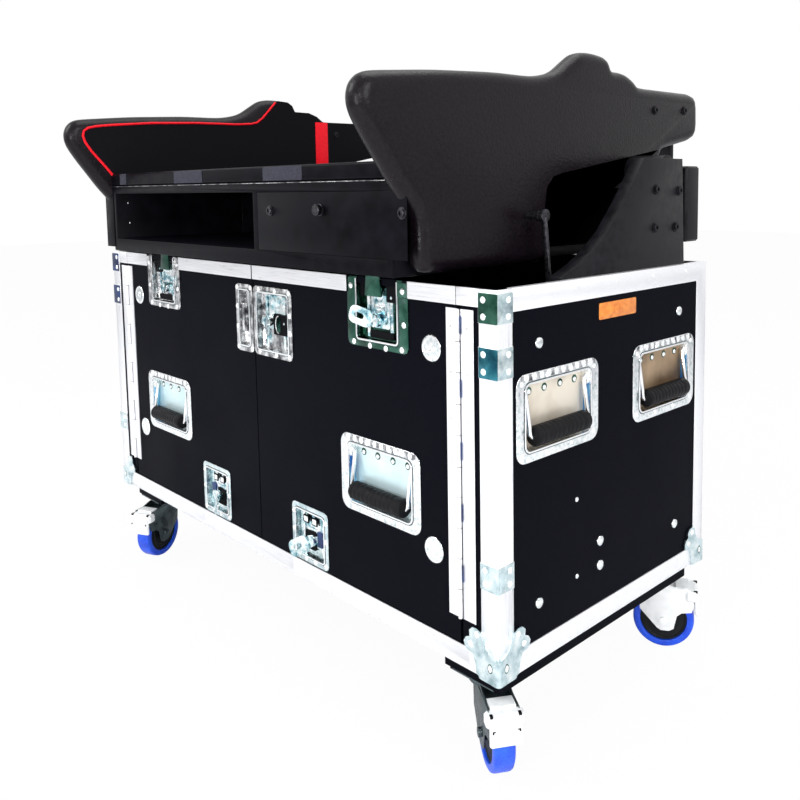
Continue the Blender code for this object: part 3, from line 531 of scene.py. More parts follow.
# Aluminium frame of the case, with corner braces: two leaves over each post, two rivets on each leaf
frameStyle = {"edge": 0.0008, "lowEdge": 0.0006}
# the brace fronts' colours differ by side and height only as painted reflection
braceStyle = {
    "proud": 0.0022, "edge": 0.0006, "corner": 0.0015, "rivetIn": 0.011, "rivetEnd": 0.010, "overhang": 0.001,
    "heights": {"low": (0.1425, 0.1835), "middle": (0.4675, 0.5135), "high": (0.5495, 0.5945)},
    "looks": {"low": zincTeal, "middle": {"right": zincBlue, "left": navyWall},
              "high": {"right": zincGreen, "left": navyWall}},
}
dress("upper_frame", "topAndRearRails", "case", aluminiumAcross, "aluminium", frameStyle["edge"])
rails = dress("bottom_frame", "bottomRails", "case", aluminiumAcross, "aluminium", frameStyle["lowEdge"])
carve(rails, box(at(-halfWidth, 0, 0), at(halfWidth, caseDepth, caseHeight)), operation="INTERSECT")
for side in ("right", "left"):
    dress(f"front_post_{side}", f"frontPost_{side}", "case", aluminiumUp, "aluminium", frameStyle["edge"])


def braceLeaves(low, high):
    s = braceStyle
    outer, edge = halfWidth + s["proud"], halfWidth - flange
    front = roundBox((edge + s["overhang"], -s["proud"], low), (outer, 0, high), 1, s["corner"])
    side = roundBox((halfWidth, 0.0001, low), (outer, flange - s["overhang"], high), 0, s["corner"])
    ends = (low + s["rivetEnd"], high - s["rivetEnd"])
    places = onFront(-s["proud"], [(edge + s["rivetIn"], z) for z in ends])
    places += onSide(outer, [(flange - s["rivetIn"], z) for z in ends])
    return soften(front, s["edge"]), soften(side, s["edge"]), stamped(bigRivet, places)


for height, (low, high) in braceStyle["heights"].items():
    front, side, heads = braceLeaves(low, high)
    mirrorPair(front, f"braceFront_{height}", "case", braceStyle["looks"][height], "zinc")
    mirrorPair(side, f"braceSide_{height}", "case", zincTeal, "zinc")
    mirrorPair(heads, f"braceRivets_{height}", "case", rivetWhite, "chrome")

# Small rivets along the rails
railRivets = {
    "pitch": 0.105, "inset": 0.012, "clear": 0.12, "start": 0.075, "backCount": 12, "backReach": 0.58,
}
railHeights = (caseHeight - railRivets["inset"], railRivets["inset"])
count = int((caseDepth - railRivets["clear"]) / railRivets["pitch"])
run = caseDepth - 2 * railRivets["start"]
spots = [(railRivets["start"] + index * run / count, z) for index in range(count + 1) for z in railHeights]
sideRivets = stamped(smallRivet, onSide(halfWidth, spots))
mirrorPair(sideRivets, "sideRailRivets", "case", aluminiumAcross, "aluminium")
backRivets = []
for index in range(railRivets["backCount"]):
    x = -railRivets["backReach"] + index * 2 * railRivets["backReach"] / (railRivets["backCount"] - 1)
    for z in railHeights:
        backRivets.append((at(x, caseDepth, z), toBack))
finish(stamped(smallRivet, backRivets), "backRailRivets", "case", aluminiumAcross, "aluminium")
print("frame rails done")

# Ball corners: a scalloped leaf on each face round a domed foot, outlines as (from the edge, height)
ballStyle = {
    "proud": 0.0029, "lap": 0.0004, "edge": 0.0006,
    "outline": ((0.0031, -0.0029), (0.0290, -0.0029), (0.0440, 0.0030), (0.0462, 0.0195), (0.0520, 0.0330),
                (0.0616, 0.0345), (0.0679, 0.0382), (0.0708, 0.0465), (0.0661, 0.0545), (0.0580, 0.0585),
                (0.0590, 0.0680), (0.0520, 0.0748), (0.0422, 0.0759), (0.0330, 0.0715), (0.0312, 0.0610),
                (0.0241, 0.0500), (0.0136, 0.0425), (0.0031, 0.0385)),
    "base": 0.046, "baseRound": 0.012,
    "core": 0.0180, "coreTop": 0.0383, "coreRound": 0.0060, "coreProud": 0.0002,
    "lobes": ((0.0560, 0.0462), (0.0425, 0.0660)),
    "foot": (0.0150, 0.0220), "ovalStretch": 1.45, "ovalTurn": 0.4,
}


def edgeMirror(piece):
    # swaps the two faces that meet at the case's corner
    turn = Matrix(((0, -1, 0, halfWidth), (-1, 0, 0, halfWidth), (0, 0, 1, 0), (0, 0, 0, 1)))
    return placed(piece, turn)


def ballCorner():
    s = ballStyle
    outline = [(halfWidth - across, -s["proud"], z) for across, z in s["outline"]]
    leaf = cutSheet(outline, (0, s["proud"] + s["lap"], 0))
    other = edgeMirror(leaf)
    x, low = halfWidth + s["proud"], -s["proud"]
    base = roundBox((halfWidth - s["base"], low, low), (x, s["base"], s["lap"]), 2, s["baseRound"])
    proud = s["coreProud"]
    coreLow = (halfWidth - s["core"], low - proud, low - proud)
    core = roundBox(coreLow, (x + proud, s["core"], s["coreTop"]), 2, s["coreRound"], 4)
    shell = carve(leaf, other, base, core, operation="UNION")
    return soften(shell, s["edge"], 2, steep)


def ballHeads():
    s = ballStyle
    return stamped(bigRivet, onFront(-s["proud"], [(halfWidth - across, z) for across, z in s["lobes"]]))


def ballOvals(size, lift):
    # the oval hole in the foot of each leaf, shown as a dark ring of painted shade round a pale plug
    s = ballStyle
    across, z = s["foot"]
    oval = lathe(((size, -0.0004), (size, lift), (size * 0.9, lift + 0.0002)), 20)
    oval.data.transform(Matrix.Scale(s["ovalStretch"], 4, (0, 1, 0)) @ Matrix.Rotation(s["ovalTurn"], 4, "Z"))
    mine = stamped(oval, onFront(-s["proud"], [(halfWidth - across, z)]))
    discard(oval)
    return joined(edgeMirror(mine), mine)


corner = ballCorner()
heads = ballHeads()
cornerRivets = joined(edgeMirror(heads), heads)
ovalDark, ovalPale = ballOvals(0.0052, 0.0002), ballOvals(0.0040, 0.0004)
flip = Matrix.Translation((0, caseDepth, 0)) @ Matrix.Scale(-1, 4, (0, 1, 0))
for piece, part, look, slot in (
    (corner, "Corner", zincTeal, "zinc"), (ovalDark, "Oval", zincGreen, "zinc"),
    (ovalPale, "Plug", rivetWhite, "zinc"), (cornerRivets, "Rivets", rivetWhite, "chrome"),
):
    mirrorPair(placed(piece, flip), f"ball{part}Rear", "case", look, slot)
    mirrorPair(piece, f"ball{part}Front", "case", look, slot)
print("corners done")

# Doors: aluminium strip along the top, round caps on the outer edge
doorStyle = {
    "seam": 0.0018, "outer": 0.5742, "latchGap": (0.3070, 0.4650), "jambGap": 0.0012, "postGap": 0.0003,
    "stripLow": 0.5722, "stripFront": -0.0012, "stripBack": 0.0022,
    "stripEdge": 0.0005, "stripRim": 0.0022, "stripSink": 0.0003,
    "capAcross": 0.517, "capHeights": (0.170, 0.498),
    "cap": ((0.0215, 0.0), (0.0215, 0.0012), (0.0205, 0.0022), (0.0175, 0.0026), (0.0165, 0.0020),
            (0.0075, 0.0022), (0.0065, 0.0030), (0.0035, 0.0030), (0.0028, 0.0022)),
}


def topStrip(start, end):
    s = doorStyle
    return box((start, s["stripFront"], s["stripLow"]), (end, s["stripBack"], caseHeight))


strips = []
gapStart, gapEnd = doorStyle["latchGap"]
for start, end in ((doorStyle["seam"], gapStart), (gapEnd, doorStyle["outer"])):
    strip = topStrip(start, end)
    openFaces(strip, frontFaces)
    bpy.ops.mesh.inset(thickness=doorStyle["stripRim"])
    bpy.ops.transform.translate(value=(0, doorStyle["stripSink"], 0))
    closeEdit()
    strips.append(soften(strip, doorStyle["stripEdge"]))
mirrorPair(joined(*strips), "doorTopStrip", "door_{}", aluminiumAcross, "aluminium")
jambStrip = topStrip(doorStyle["outer"] + doorStyle["jambGap"], halfWidth - flange - doorStyle["postGap"])
mirrorPair(soften(jambStrip, doorStyle["stripEdge"]), "jambTopStrip", "case", aluminiumAcross, "aluminium")
cap = lathe(doorStyle["cap"], 40)
caps = stamped(cap, onFront(panelFace, [(doorStyle["capAcross"], z) for z in doorStyle["capHeights"]]))
mirrorPair(caps, "doorCaps", "door_{}", zinc, "zinc")

# Hinges: knuckled strip between door and post
hingeStyle = {
    "x": 0.5785, "y": -0.0015, "low": 0.0786, "high": 0.5664, "knuckles": 10, "radius": 0.0036, "gap": 0.0003,
    "screws": 7, "screwEnd": 0.030, "screwFace": 0.0005, "doorScrew": 0.017, "postScrew": 0.018,
    "leaf": (0.0045, 0.0315), "leafFaces": (0.0003, 0.0019), "leafEdge": 0.0004,
    "slit": (0.0040, 0.0056), "slitFaces": (-0.0012, 0.0021), "slitStart": 0.22, "slitLong": 0.56,
}


def hingePieces():
    s = hingeStyle
    x, low, high = s["x"], s["low"], s["high"]
    run = high - low - 2 * s["screwEnd"]
    heights = [low + s["screwEnd"] + index * run / (s["screws"] - 1) for index in range(s["screws"])]
    for across, name, body in ((x - s["doorScrew"], "Door", "door_{}"), (x + s["postScrew"], "Post", "case")):
        screws = stamped(smallRivet, onFront(s["screwFace"], [(across, z) for z in heights]))
        mirrorPair(screws, "hingeScrews" + name, body, chrome, "chrome")
    front, back = s["leafFaces"]
    fixedLeaf = box((x + s["leaf"][0], front, low), (x + s["leaf"][1], back, high))
    mirrorPair(soften(fixedLeaf, s["leafEdge"]), "hingeLeafPost", "case", aluminiumUp, "aluminium")
    pitch = (high - low) / s["knuckles"]
    r, gap = s["radius"], s["gap"]
    knuckle = ((r * 0.8, gap), (r, 3 * gap), (r, pitch - 3 * gap), (r * 0.8, pitch - gap))
    for parity, body, name in ((0, "case", "knucklesPost"), (1, "door_{}", "knucklesDoor")):
        barrels = []
        for index in range(parity, s["knuckles"], 2):
            barrel = lathe(knuckle, 16)
            barrel.data.transform(Matrix.Translation((x, s["y"], low + index * pitch)))
            barrels.append(barrel)
        mirrorPair(joined(*barrels), name, body, aluminiumUp, "aluminium")
    # navy slits beside the door's knuckles are painted shade in the gaps
    gapShades = []
    front, back = s["slitFaces"]
    for index in range(1, s["knuckles"], 2):
        z = low + (index + s["slitStart"]) * pitch
        gapShades.append(box((x + s["slit"][0], front, z), (x + s["slit"][1], back, z + pitch * s["slitLong"])))
    mirrorPair(joined(*gapShades), "hingeGapShade", "case", navyWall, "aluminium")


hingePieces()
print("doors done")

# Handles, modelled once facing the front, round the middle of the dish
handleStyle = {
    "width": 0.209, "height": 0.139, "corner": 0.020, "plate": (0.0003, 0.0020), "wall": 0.0009,
    "edge": 0.0007, "behind": 0.001,  # how far in the rim's details reach
    "recess": (0.165, 0.104), "recessCorner": 0.010, "depth": 0.0160, "floorGap": 0.0006,
    "bead": 0.0032, "beadProud": 0.0014, "beadEdge": 0.0006, "groove": 0.0016, "grooveProud": 0.0002,
    "strip": (0.094, 0.0575, 0.0682), "stripCorner": 0.004, "blobs": 10, "blobStart": -0.0810,
    "blobPitch": 0.018, "blobHalf": 0.0048, "blobRise": (0.0572, 0.0694), "blobProud": 0.0012,
    "blobCorner": 0.0045,
    "sheetGap": 0.0003, "backSheet": (0.0003, 0.0001), "endSheet": 0.0004, "endFront": 0.0024,
    "endShort": 0.011,
    "shade": ((0.0066, -0.0004), (0.0066, 0.0002), (0.0060, 0.0003)), "shadePlace": (0, 0.0001, 0.0010),
    "ear": (0.026, 0.052), "earFront": 0.002, "earWide": 0.003, "earCorner": 0.005, "earEdge": 0.0005,
    "wire": 0.0038, "pivot": (0.0085, 0.040), "drop": 0.070, "bend": 0.0045, "halfBend": 0.0025,
    "armGap": 0.0060,
    "grip": 0.0160, "gripLength": 0.136, "gripRibs": 10, "ribPitch": 0.0112,
    "backScrews": (-0.058, -0.020, 0.020, 0.058), "screwHeight": 0.036,
    "rimScrews": ((-0.092, -0.055), (-0.092, 0.055), (0.092, -0.055), (0.092, 0.055),
                  (-0.031, -0.0605), (-0.031, 0.0605), (0.031, -0.0605), (0.031, 0.0605)),
}
recessHalf = (handleStyle["recess"][0] / 2, handleStyle["recess"][1] / 2)


def handleDish():
    s = handleStyle
    halfX, halfZ = recessHalf
    near, far = s["plate"]
    wide, high, wall = s["width"] / 2, s["height"] / 2, s["wall"]
    plate = roundBox((-wide, near, -high), (wide, far, high), 1, s["corner"], 5)
    cupHigh = (halfX + wall, s["depth"] + wall, halfZ + wall)
    cup = roundBox((-halfX - wall, s["behind"], -halfZ - wall), cupHigh, 1, s["recessCorner"], 5)
    carve(plate, cup, operation="UNION")
    carve(plate, roundBox((-halfX, inFront, -halfZ), (halfX, s["depth"], halfZ), 1, s["recessCorner"], 5))
    return soften(plate, s["edge"], 3, steep)


def handleRings():
    s = handleStyle
    near, far = s["plate"]
    bead = ring((0, 0), recessHalf, s["recessCorner"], 0, s["bead"], near - s["beadProud"], far)
    # the dark groove ring outside the bead is painted shade in the crease
    outside = s["bead"] + s["groove"]
    front = near - s["grooveProud"]
    groove = ring((0, 0), recessHalf, s["recessCorner"], s["bead"], outside, front, s["behind"])
    return soften(bead, s["beadEdge"], 2, steep), groove


def handleRow():
    # raised blobs along the top of the rim over a darker strip
    s = handleStyle
    near = s["plate"][0]
    wide, low, high = s["strip"]
    strip = roundBox((-wide, near - s["grooveProud"], low), (wide, s["behind"], high), 1, s["stripCorner"])
    low, high = s["blobRise"]
    blobs = []
    for index in range(s["blobs"]):
        x = s["blobStart"] + index * s["blobPitch"]
        left = (x - s["blobHalf"], near - s["blobProud"], low)
        right = (x + s["blobHalf"], s["behind"], high)
        blobs.append(roundBox(left, right, 1, s["blobCorner"], 2))
    return strip, joined(*blobs)


def handleLiners():
    # thin sheets over the back wall and the two end walls of the recess, coloured with painted reflections
    s = handleStyle
    x, z = recessHalf[0] - s["sheetGap"], recessHalf[1] - s["sheetGap"]
    near, far = (s["depth"] - gap for gap in s["backSheet"])
    back = roundBox((-x, near, -z), (x, far, z), 1, s["recessCorner"], 5)
    ends = []
    for side in (-1, 1):
        low, high = sorted((side * x, side * (x - s["endSheet"])))
        start = (low, s["endFront"], -z + s["endShort"])
        ends.append(box(start, (high, s["depth"] - s["floorGap"], z - s["endShort"])))
    return back, joined(*ends)


def handleDetails():
    # screws on the rim and the back wall with a shade under each, and the bail's ears
    s = handleStyle
    dots = onFront(s["depth"] - s["floorGap"], [(x, s["screwHeight"]) for x in s["backScrews"]])
    spot = lathe(s["shade"], 16)
    shades = stamped(spot, [(place + Vector(s["shadePlace"]), way) for place, way in dots])
    discard(spot)
    screws = stamped(rivet, dots + onFront(s["plate"][0], s["rimScrews"]))
    ears = []
    for side in (-1, 1):
        x = side * recessHalf[0]
        low, high = sorted((x, x - side * s["earWide"]))
        start, end = (low, s["earFront"], s["ear"][0]), (high, s["depth"], s["ear"][1])
        ears.append(soften(roundBox(start, end, 0, s["earCorner"]), s["earEdge"]))
    return joined(screws, *ears), shades


def handleBail():
    s = handleStyle
    end = recessHalf[0] - s["sheetGap"]
    arm = s["gripLength"] / 2 + s["armGap"]
    low = (s["depth"] - s["floorGap"] - s["grip"], s["pivot"][1] - s["drop"])
    top, bend, half = s["pivot"], s["bend"], s["halfBend"]
    points = [
        (end, *top), (arm + bend, *top), (arm + half, top[0], top[1] - half), (arm, top[0], top[1] - bend),
        (arm, low[0], low[1] + bend), (arm - half, low[0], low[1] + half), (arm - bend, *low),
    ]
    points = points + [(-x, y, z) for x, y, z in reversed(points)]
    return tube(points, s["wire"], 4), low


def handleGrip(low):
    s = handleStyle
    r, half = s["grip"], s["gripLength"] / 2
    steps = [(r * 0.55, -half), (r * 0.9, -half + 0.0010), (r, -half + 0.004), (r, -half + 0.010)]
    for index in range(s["gripRibs"]):
        z = -half + 0.012 + index * s["ribPitch"]
        steps += [(r * 0.955, z), (r, z + 0.0015), (r, z + 0.0090)]
    steps += [(r, half - 0.004), (r * 0.9, half - 0.0010), (r * 0.55, half)]
    grip = lathe(steps, 28)
    grip.data.transform(Matrix.Translation((0, *low)) @ Matrix.Rotation(math.pi / 2, 4, "Y"))
    return grip


dish = handleDish()
bead, groove = handleRings()
backSheet, endSheets = handleLiners()
details, shades = handleDetails()
rowStrip, rowBlobs = handleRow()
wire, gripPlace = handleBail()
grip = handleGrip(gripPlace)
handlePlaces = {}
handleSpots = {"sideEnd": 0.148, "sideHeight": 0.397, "door": (0.383, 0.250)}
for side, sign in (("right", 1), ("left", -1)):
    turn = Matrix.Rotation(sign * math.pi / 2, 4, "Z")
    for end, y in (("front", handleSpots["sideEnd"]), ("rear", caseDepth - handleSpots["sideEnd"])):
        place = Matrix.Translation(at(sign * halfWidth, y, handleSpots["sideHeight"])) @ turn
        # front and rear handles differ only in the painted reflection on their recess sheets
        reflectionLook = beigeWall if end == "front" else brownWall
        handlePlaces[f"side_handle_{{}}_{side}_{end}"] = ("case", place, reflectionLook)
    x, z = handleSpots["door"]
    place = Matrix.Translation(at(sign * x, 0, z))
    handlePlaces[f"door_handle_{{}}_{side}"] = (f"door_{side}", place, tealWall)
for name, (body, place, reflectionLook) in handlePlaces.items():
    key = name.replace("_handle_{}", "Handle")
    dishNode, bailNode = name.format("dish"), name.format("bail")
    finish(placed(dish, place), key + "_dish", body, zinc, "zinc", dishNode)
    for piece, part, look, slot in (
        (details, "details", rivetWhite, "zinc"), (shades, "shades", zincGreen, "zinc"),
        (bead, "bead", chrome, "chrome"), (rowStrip, "row", zincGreyReflections, "zinc"),
        (rowBlobs, "blobs", rivetWhite, "zinc"), (groove, "groove", forkDark, "zinc"),
        (backSheet, "back", reflectionLook, "zinc"), (endSheets, "ends", blueWall, "zinc"),
    ):
        finish(placed(piece, place), f"{key}_{part}", body, look, slot)
    finish(placed(wire, place), key + "_wire", bailNode, chrome, "zinc", bailNode)
    finish(placed(grip, place), key + "_grip", bailNode, rubber, "grip", bailNode)
discard(dish, details, shades, bead, groove, backSheet, endSheets, rowStrip, rowBlobs, wire, grip)
print("handles done")

# Butterfly latches
latchStyle = {
    "plate": (0.0003, 0.0020), "depth": 0.0120, "wall": 0.0009, "chamfer": 0.010, "holeCorner": 0.005,
    "edge": 0.0006, "behind": 0.001, "slotRise": 0.0010,
    "bead": 0.0030, "beadProud": 0.0014, "beadEdge": 0.0005, "line": 0.0013, "lineProud": 0.0002,
    "frameCut": 0.02, "postStart": 0.015, "frameTop": 0.5965,
    "margin": 0.013, "slideHalf": 0.024, "slideFaces": (0.0088, 0.0118), "slideDrop": 0.014,
    "slideTop": 0.003, "slideCorner": 0.004, "slideEdge": 0.0008,
    "windowHalf": 0.013, "windowFaces": (0.005, 0.0105), "windowRise": (0.004, 0.014), "windowCorner": 0.002,
    "bar": 0.030, "barHalf": 0.004, "barFaces": (0.0078, 0.0119), "pinFace": 0.0079, "pinSpread": 0.6,
    "shadeFaces": (0.0070, 0.0119), "patchRound": 0.003, "lip": (-0.0013, (0.4535, 0.5823)),
}


def slab(centre, half, near, far, corner, segments=4):
    # a rounded plate facing the front
    x, z = centre
    halfX, halfZ = half
    return roundBox((x - halfX, near, z - halfZ), (x + halfX, far, z + halfZ), 1, corner, segments)


def latchDish(centre, width, height, hole, openTop=False):
    s = latchStyle
    x, z = centre
    halfX, halfZ = hole
    wall, depth = s["wall"], s["depth"]
    plate = slab(centre, (width / 2, height / 2), *s["plate"], s["chamfer"], 2)
    cupLow = (x - halfX - wall, s["behind"], z - halfZ - wall)
    cup = box(cupLow, (x + halfX + wall, depth + wall, z + halfZ + wall))
    carve(plate, cup, operation="UNION")
    carve(plate, slab(centre, hole, inFront, depth, s["holeCorner"], 3))
    if openTop:
        carve(plate, box((x - halfX, inFront, z), (x + halfX, depth, z + height / 2 + s["slotRise"])))
    return soften(plate, s["edge"], 2, steep)


def latchRings(centre, hole, openTop=False):
    # bright frame round the opening and the dark line outside it, painted shade in the crease; the top
    # latches' frame is open at the top
    s = latchStyle
    near, far = s["plate"]
    bead, front = s["bead"], near - s["beadProud"]
    frameRing = ring(centre, hole, s["holeCorner"], 0, bead, front, far)
    line = ring(centre, hole, s["holeCorner"], bead, bead + s["line"], near - s["lineProud"], s["behind"])
    if openTop:
        x, z = centre
        cut = s["frameCut"]
        for piece in (frameRing, line):
            carve(piece, box((x - hole[0] - cut, -cut, z + cut), (x + hole[0] + cut, cut, z + 10 * cut)))
        for side in (-1, 1):
            low, high = sorted((x + side * hole[0], x + side * (hole[0] + bead)))
            post = box((low, front, z + s["postStart"]), (high, far, s["frameTop"]))
            carve(frameRing, post, operation="UNION")
    return soften(frameRing, s["beadEdge"], 2, steep), line


def latchRivets(spots):
    return stamped(bigRivet, onFront(latchStyle["plate"][0], spots))


def latchWorks(centre, height, boss):
    # slide plate with two windows between two pinned bars, inside the dish
    s = latchStyle
    x, z = centre
    halfZ = height / 2 - s["margin"]
    low, high = boss[1] - s["slideDrop"], z + (halfZ - s["slideTop"])
    wide, window = s["slideHalf"], s["windowHalf"]
    front, back = s["slideFaces"]
    slide = roundBox((x - wide, front, low), (x + wide, back, high), 1, s["slideCorner"])
    middle = (low + high) / 2
    near, far = s["windowRise"]
    front, back = s["windowFaces"]
    for start, end in ((middle + near, middle + far), (middle - far, middle - near)):
        carve(slide, roundBox((x - window, front, start), (x + window, back, end), 1, s["windowCorner"]))
    soften(slide, s["slideEdge"])
    bars = []
    sides = (-s["bar"], s["bar"])
    half = s["barHalf"]
    front, back = s["barFaces"]
    for dx in sides:
        barLow, barHigh = (x + dx - half, front, z - halfZ + half), (x + dx + half, back, z + halfZ - half)
        bars.append(soften(roundBox(barLow, barHigh, 1, s["windowCorner"]), s["edge"]))
    heights = (-halfZ * s["pinSpread"], 0, halfZ * s["pinSpread"])
    pins = stamped(smallRivet, onFront(s["pinFace"], [(x + dx, z + dz) for dx in sides for dz in heights]))
    return joined(slide, pins, *bars)


# The turn key of a latch: a round boss with a folded wing, on its pin with the wing along +X
wingStyle = {
    "bossRadius": 0.0118, "bossBack": 0.0115,
    "boss": ((1.0, 0.0), (1.0, 0.0125), (0.93, 0.0138), (0.62, 0.0140), (0.58, 0.0128), (0.35, 0.0128),
             (0.30, 0.0142), (0.1, 0.0146)),
    "wing": ((0.002, -0.0022, -0.0165), (0.0455, -0.0002, 0.0165)), "corner": 0.011, "rim": 0.0035,
    "sink": 0.0008, "edge": 0.0005, "lift": -0.0020, "tilt": 24,
    "slot": ((0.018, -0.01, -0.005), (0.036, 0.01, 0.005)), "slotCorner": 0.0045,
    "stub": ((-0.0150, -0.0030, -0.0075), (0.002, -0.0008, 0.0075)), "stubCorner": 0.005,
}


def butterfly():
    s = wingStyle
    boss = lathe([(s["bossRadius"] * share, height) for share, height in s["boss"]], 28)
    boss.data.transform(Matrix.Translation((0, s["bossBack"], 0)) @ Matrix.Rotation(math.pi / 2, 4, "X"))
    wing = roundBox(*s["wing"], 1, s["corner"], 5)
    openFaces(wing, frontFaces)
    bpy.ops.mesh.inset(thickness=s["rim"])
    bpy.ops.transform.translate(value=(0, s["sink"], 0))
    closeEdit()
    soften(wing, s["edge"])
    carve(wing, roundBox(*s["slot"], 1, s["slotCorner"]))
    tilt = Matrix.Rotation(-math.radians(s["tilt"]), 4, "Z")
    wing.data.transform(Matrix.Translation((0, s["lift"], 0)) @ tilt)
    stub = roundBox(*s["stub"], 1, s["stubCorner"])
    return joined(boss, wing, soften(stub, s["edge"]))


# Small works that only one kind of latch has
extraStyle = {
    "tongue": ((0.3545, 0.0006, 0.568), (0.3985, 0.0036, 0.6115)), "tongueRound": 0.003,
    "taperFrom": 0.60, "taper": 0.74, "taperMiddle": 0.3738,
    "ear": ((0.4400, -0.0013, 0.5730), (0.4643, 0.0006, 0.5965)), "earEdge": 0.0004,
    "curl": (0.0800, 0.0066, 0.4875), "curlReach": (0.010, 0.017), "curlSteps": 6, "curlWire": 0.0011,
    "cam": ((0.0740, 0.0062, 0.4730), (0.0870, 0.0080, 0.5020)), "camRound": 0.005,
    "panes": ((0.157, 0.1210), (0.184, 0.1210)), "patch": ((0.190, 0.0060, 0.074), (0.206, 0.0119, 0.104)),
}


def topExtras():
    # tongue over the rail, and the dish's ear in front of the door's face
    s = extraStyle
    tongue = roundBox(*s["tongue"], 1, s["tongueRound"])
    openEdges(tongue, lambda a, b: a.z > s["taperFrom"] and b.z > s["taperFrom"])
    middle = (s["taperMiddle"], 0, s["taperFrom"])
    bpy.ops.transform.resize(value=(s["taper"], 1, 1), center_override=middle)
    closeEdit()
    tongue = soften(tongue, 0.0006)
    ear = soften(box(*s["ear"]), s["earEdge"])
    return [(tongue, "Tongue", zincGreen, "zinc"), (ear, "Ear", latches["top"]["plate"], "zinc")]


def centreExtras():
    # spring curl and green cam beside the boss
    s = extraStyle
    x, y, z = s["curl"]
    wide, high = s["curlReach"]
    turns = [step / s["curlSteps"] * math.pi for step in range(-3, 4)]
    curl = tube([(x - wide * math.cos(a), y, z + high * math.sin(a)) for a in turns], s["curlWire"], 2)
    cam = roundBox(*s["cam"], 1, s["camRound"])
    return [(curl, "Curl", rivetWhite, "zinc"), (cam, "Cam", zincGreen, "zinc")]


def bottomExtras():
    # two small windows over the boss and a navy patch of painted reflection beside it
    s = extraStyle
    edges = joined(*(slab(pane, (0.0085, 0.0075), 0.0040, 0.0060, 0.0015) for pane in s["panes"]))
    pale = joined(*(slab(pane, (0.0060, 0.0050), 0.0036, 0.0060, 0.0012) for pane in s["panes"]))
    patch = roundBox(*s["patch"], 1, latchStyle["patchRound"])
    return [(edges, "PaneEdge", lining, "zinc"), (pale, "Pane", rivetWhite, "zinc"),
            (patch, "Patch", navyWall, "zinc")]


fly = butterfly()
# each latch plate's colour carries painted reflection, so the top latch's right and left plates differ
latches = {
    "top": {
        "centre": (0.3860, 0.53985), "size": (0.157, 0.1197), "hole": (0.0520, 0.0459),
        "boss": (0.380, 0.52785), "turn": 200, "plate": {"right": zincGreen, "left": zincGreyReflections},
        "spots": ((0.3180, 0.5828), (0.4535, 0.5823), (0.3175, 0.5274), (0.4545, 0.5275), (0.3240, 0.4860),
                  (0.3670, 0.4835), (0.4083, 0.4835), (0.4485, 0.4860)),
        "dark": ((0.360, 0.4965, 0.421, 0.5095), (0.404, 0.560, 0.432, 0.594),
                 (0.3350, 0.566, 0.3450, 0.596)),
        "extras": topExtras,
    },
    "bottom": {
        "centre": (0.174, 0.0939), "size": (0.115, 0.1122), "hole": (0.0445, 0.0431),
        "boss": (0.174, 0.0819), "turn": 150, "plate": zincTeal,
        "spots": ((0.1230, 0.1300), (0.2250, 0.1300), (0.1230, 0.0940), (0.2250, 0.0940), (0.1250, 0.0460),
                  (0.1600, 0.0445), (0.1900, 0.0445), (0.2230, 0.0460)),
        "dark": ((0.150, 0.062, 0.182, 0.098),),
        "extras": bottomExtras,
    },
    "centre": {
        "centre": (0.06815, 0.491), "size": (0.1327, 0.138), "hole": (0.0534, 0.0560),
        "boss": (0.050, 0.491), "turn": 10, "plate": zincGreyReflections,
        "spots": ((0.0225, 0.5535), (0.0790, 0.5535), (0.1264, 0.5525), (0.1280, 0.5096), (0.1280, 0.4755),
                  (0.0208, 0.4285), (0.0802, 0.4285), (0.1240, 0.4295)),
        "dark": ((0.062, 0.467, 0.113, 0.508),),
        "extras": centreExtras,
    },
}
for name, s in latches.items():
    alone, top = name == "centre", name == "top"
    fit = finishMoved if alone else mirrorPair
    body = "door_right" if alone else "door_{}"
    ending = "" if alone else "_{}"
    dishNode, wingNode = f"{name}_latch_dish{ending}", f"{name}_latch_butterfly{ending}"
    width, height = s["size"]
    plate = latchDish(s["centre"], width, height, s["hole"], top)
    frameRing, line = latchRings(s["centre"], s["hole"], top)
    rivets = latchRivets(s["spots"])
    works = latchWorks(s["centre"], height, s["boss"])
    # black blocks inside the dish are painted shade in the recess
    front, back = latchStyle["shadeFaces"]
    corner = latchStyle["patchRound"]
    shadeBlocks = joined(*(roundBox((x0, front, z0), (x1, back, z1), 1, corner) for x0, z0, x1, z1 in s["dark"]))
    extras = s["extras"]()
    if top:
        lipFace, lipSpot = latchStyle["lip"]
        rivets = joined(rivets, stamped(bigRivet, onFront(lipFace, [lipSpot])))
    bossX, bossZ = s["boss"]
    turn = Matrix.Rotation(math.radians(s["turn"]), 4, "Y")
    wing = placed(fly, Matrix.Translation((bossX, 0, bossZ)) @ turn)
    fit(plate, name + "LatchDish", body, s["plate"], "zinc", dishNode)
    for piece, part, look, slot in (
        (rivets, "Rivets", rivetWhite, "chrome"), (works, "Works", zincMixed, "zinc"),
        (shadeBlocks, "Hole", lining, "zinc"), (line, "Line", forkDark, "zinc"),
        (frameRing, "Frame", chrome, "chrome"), *extras,
    ):
        fit(piece, f"{name}Latch{part}", body, look, slot)
    fit(wing, name + "LatchWing", wingNode, zincMixed, "zinc", wingNode)
discard(fly)

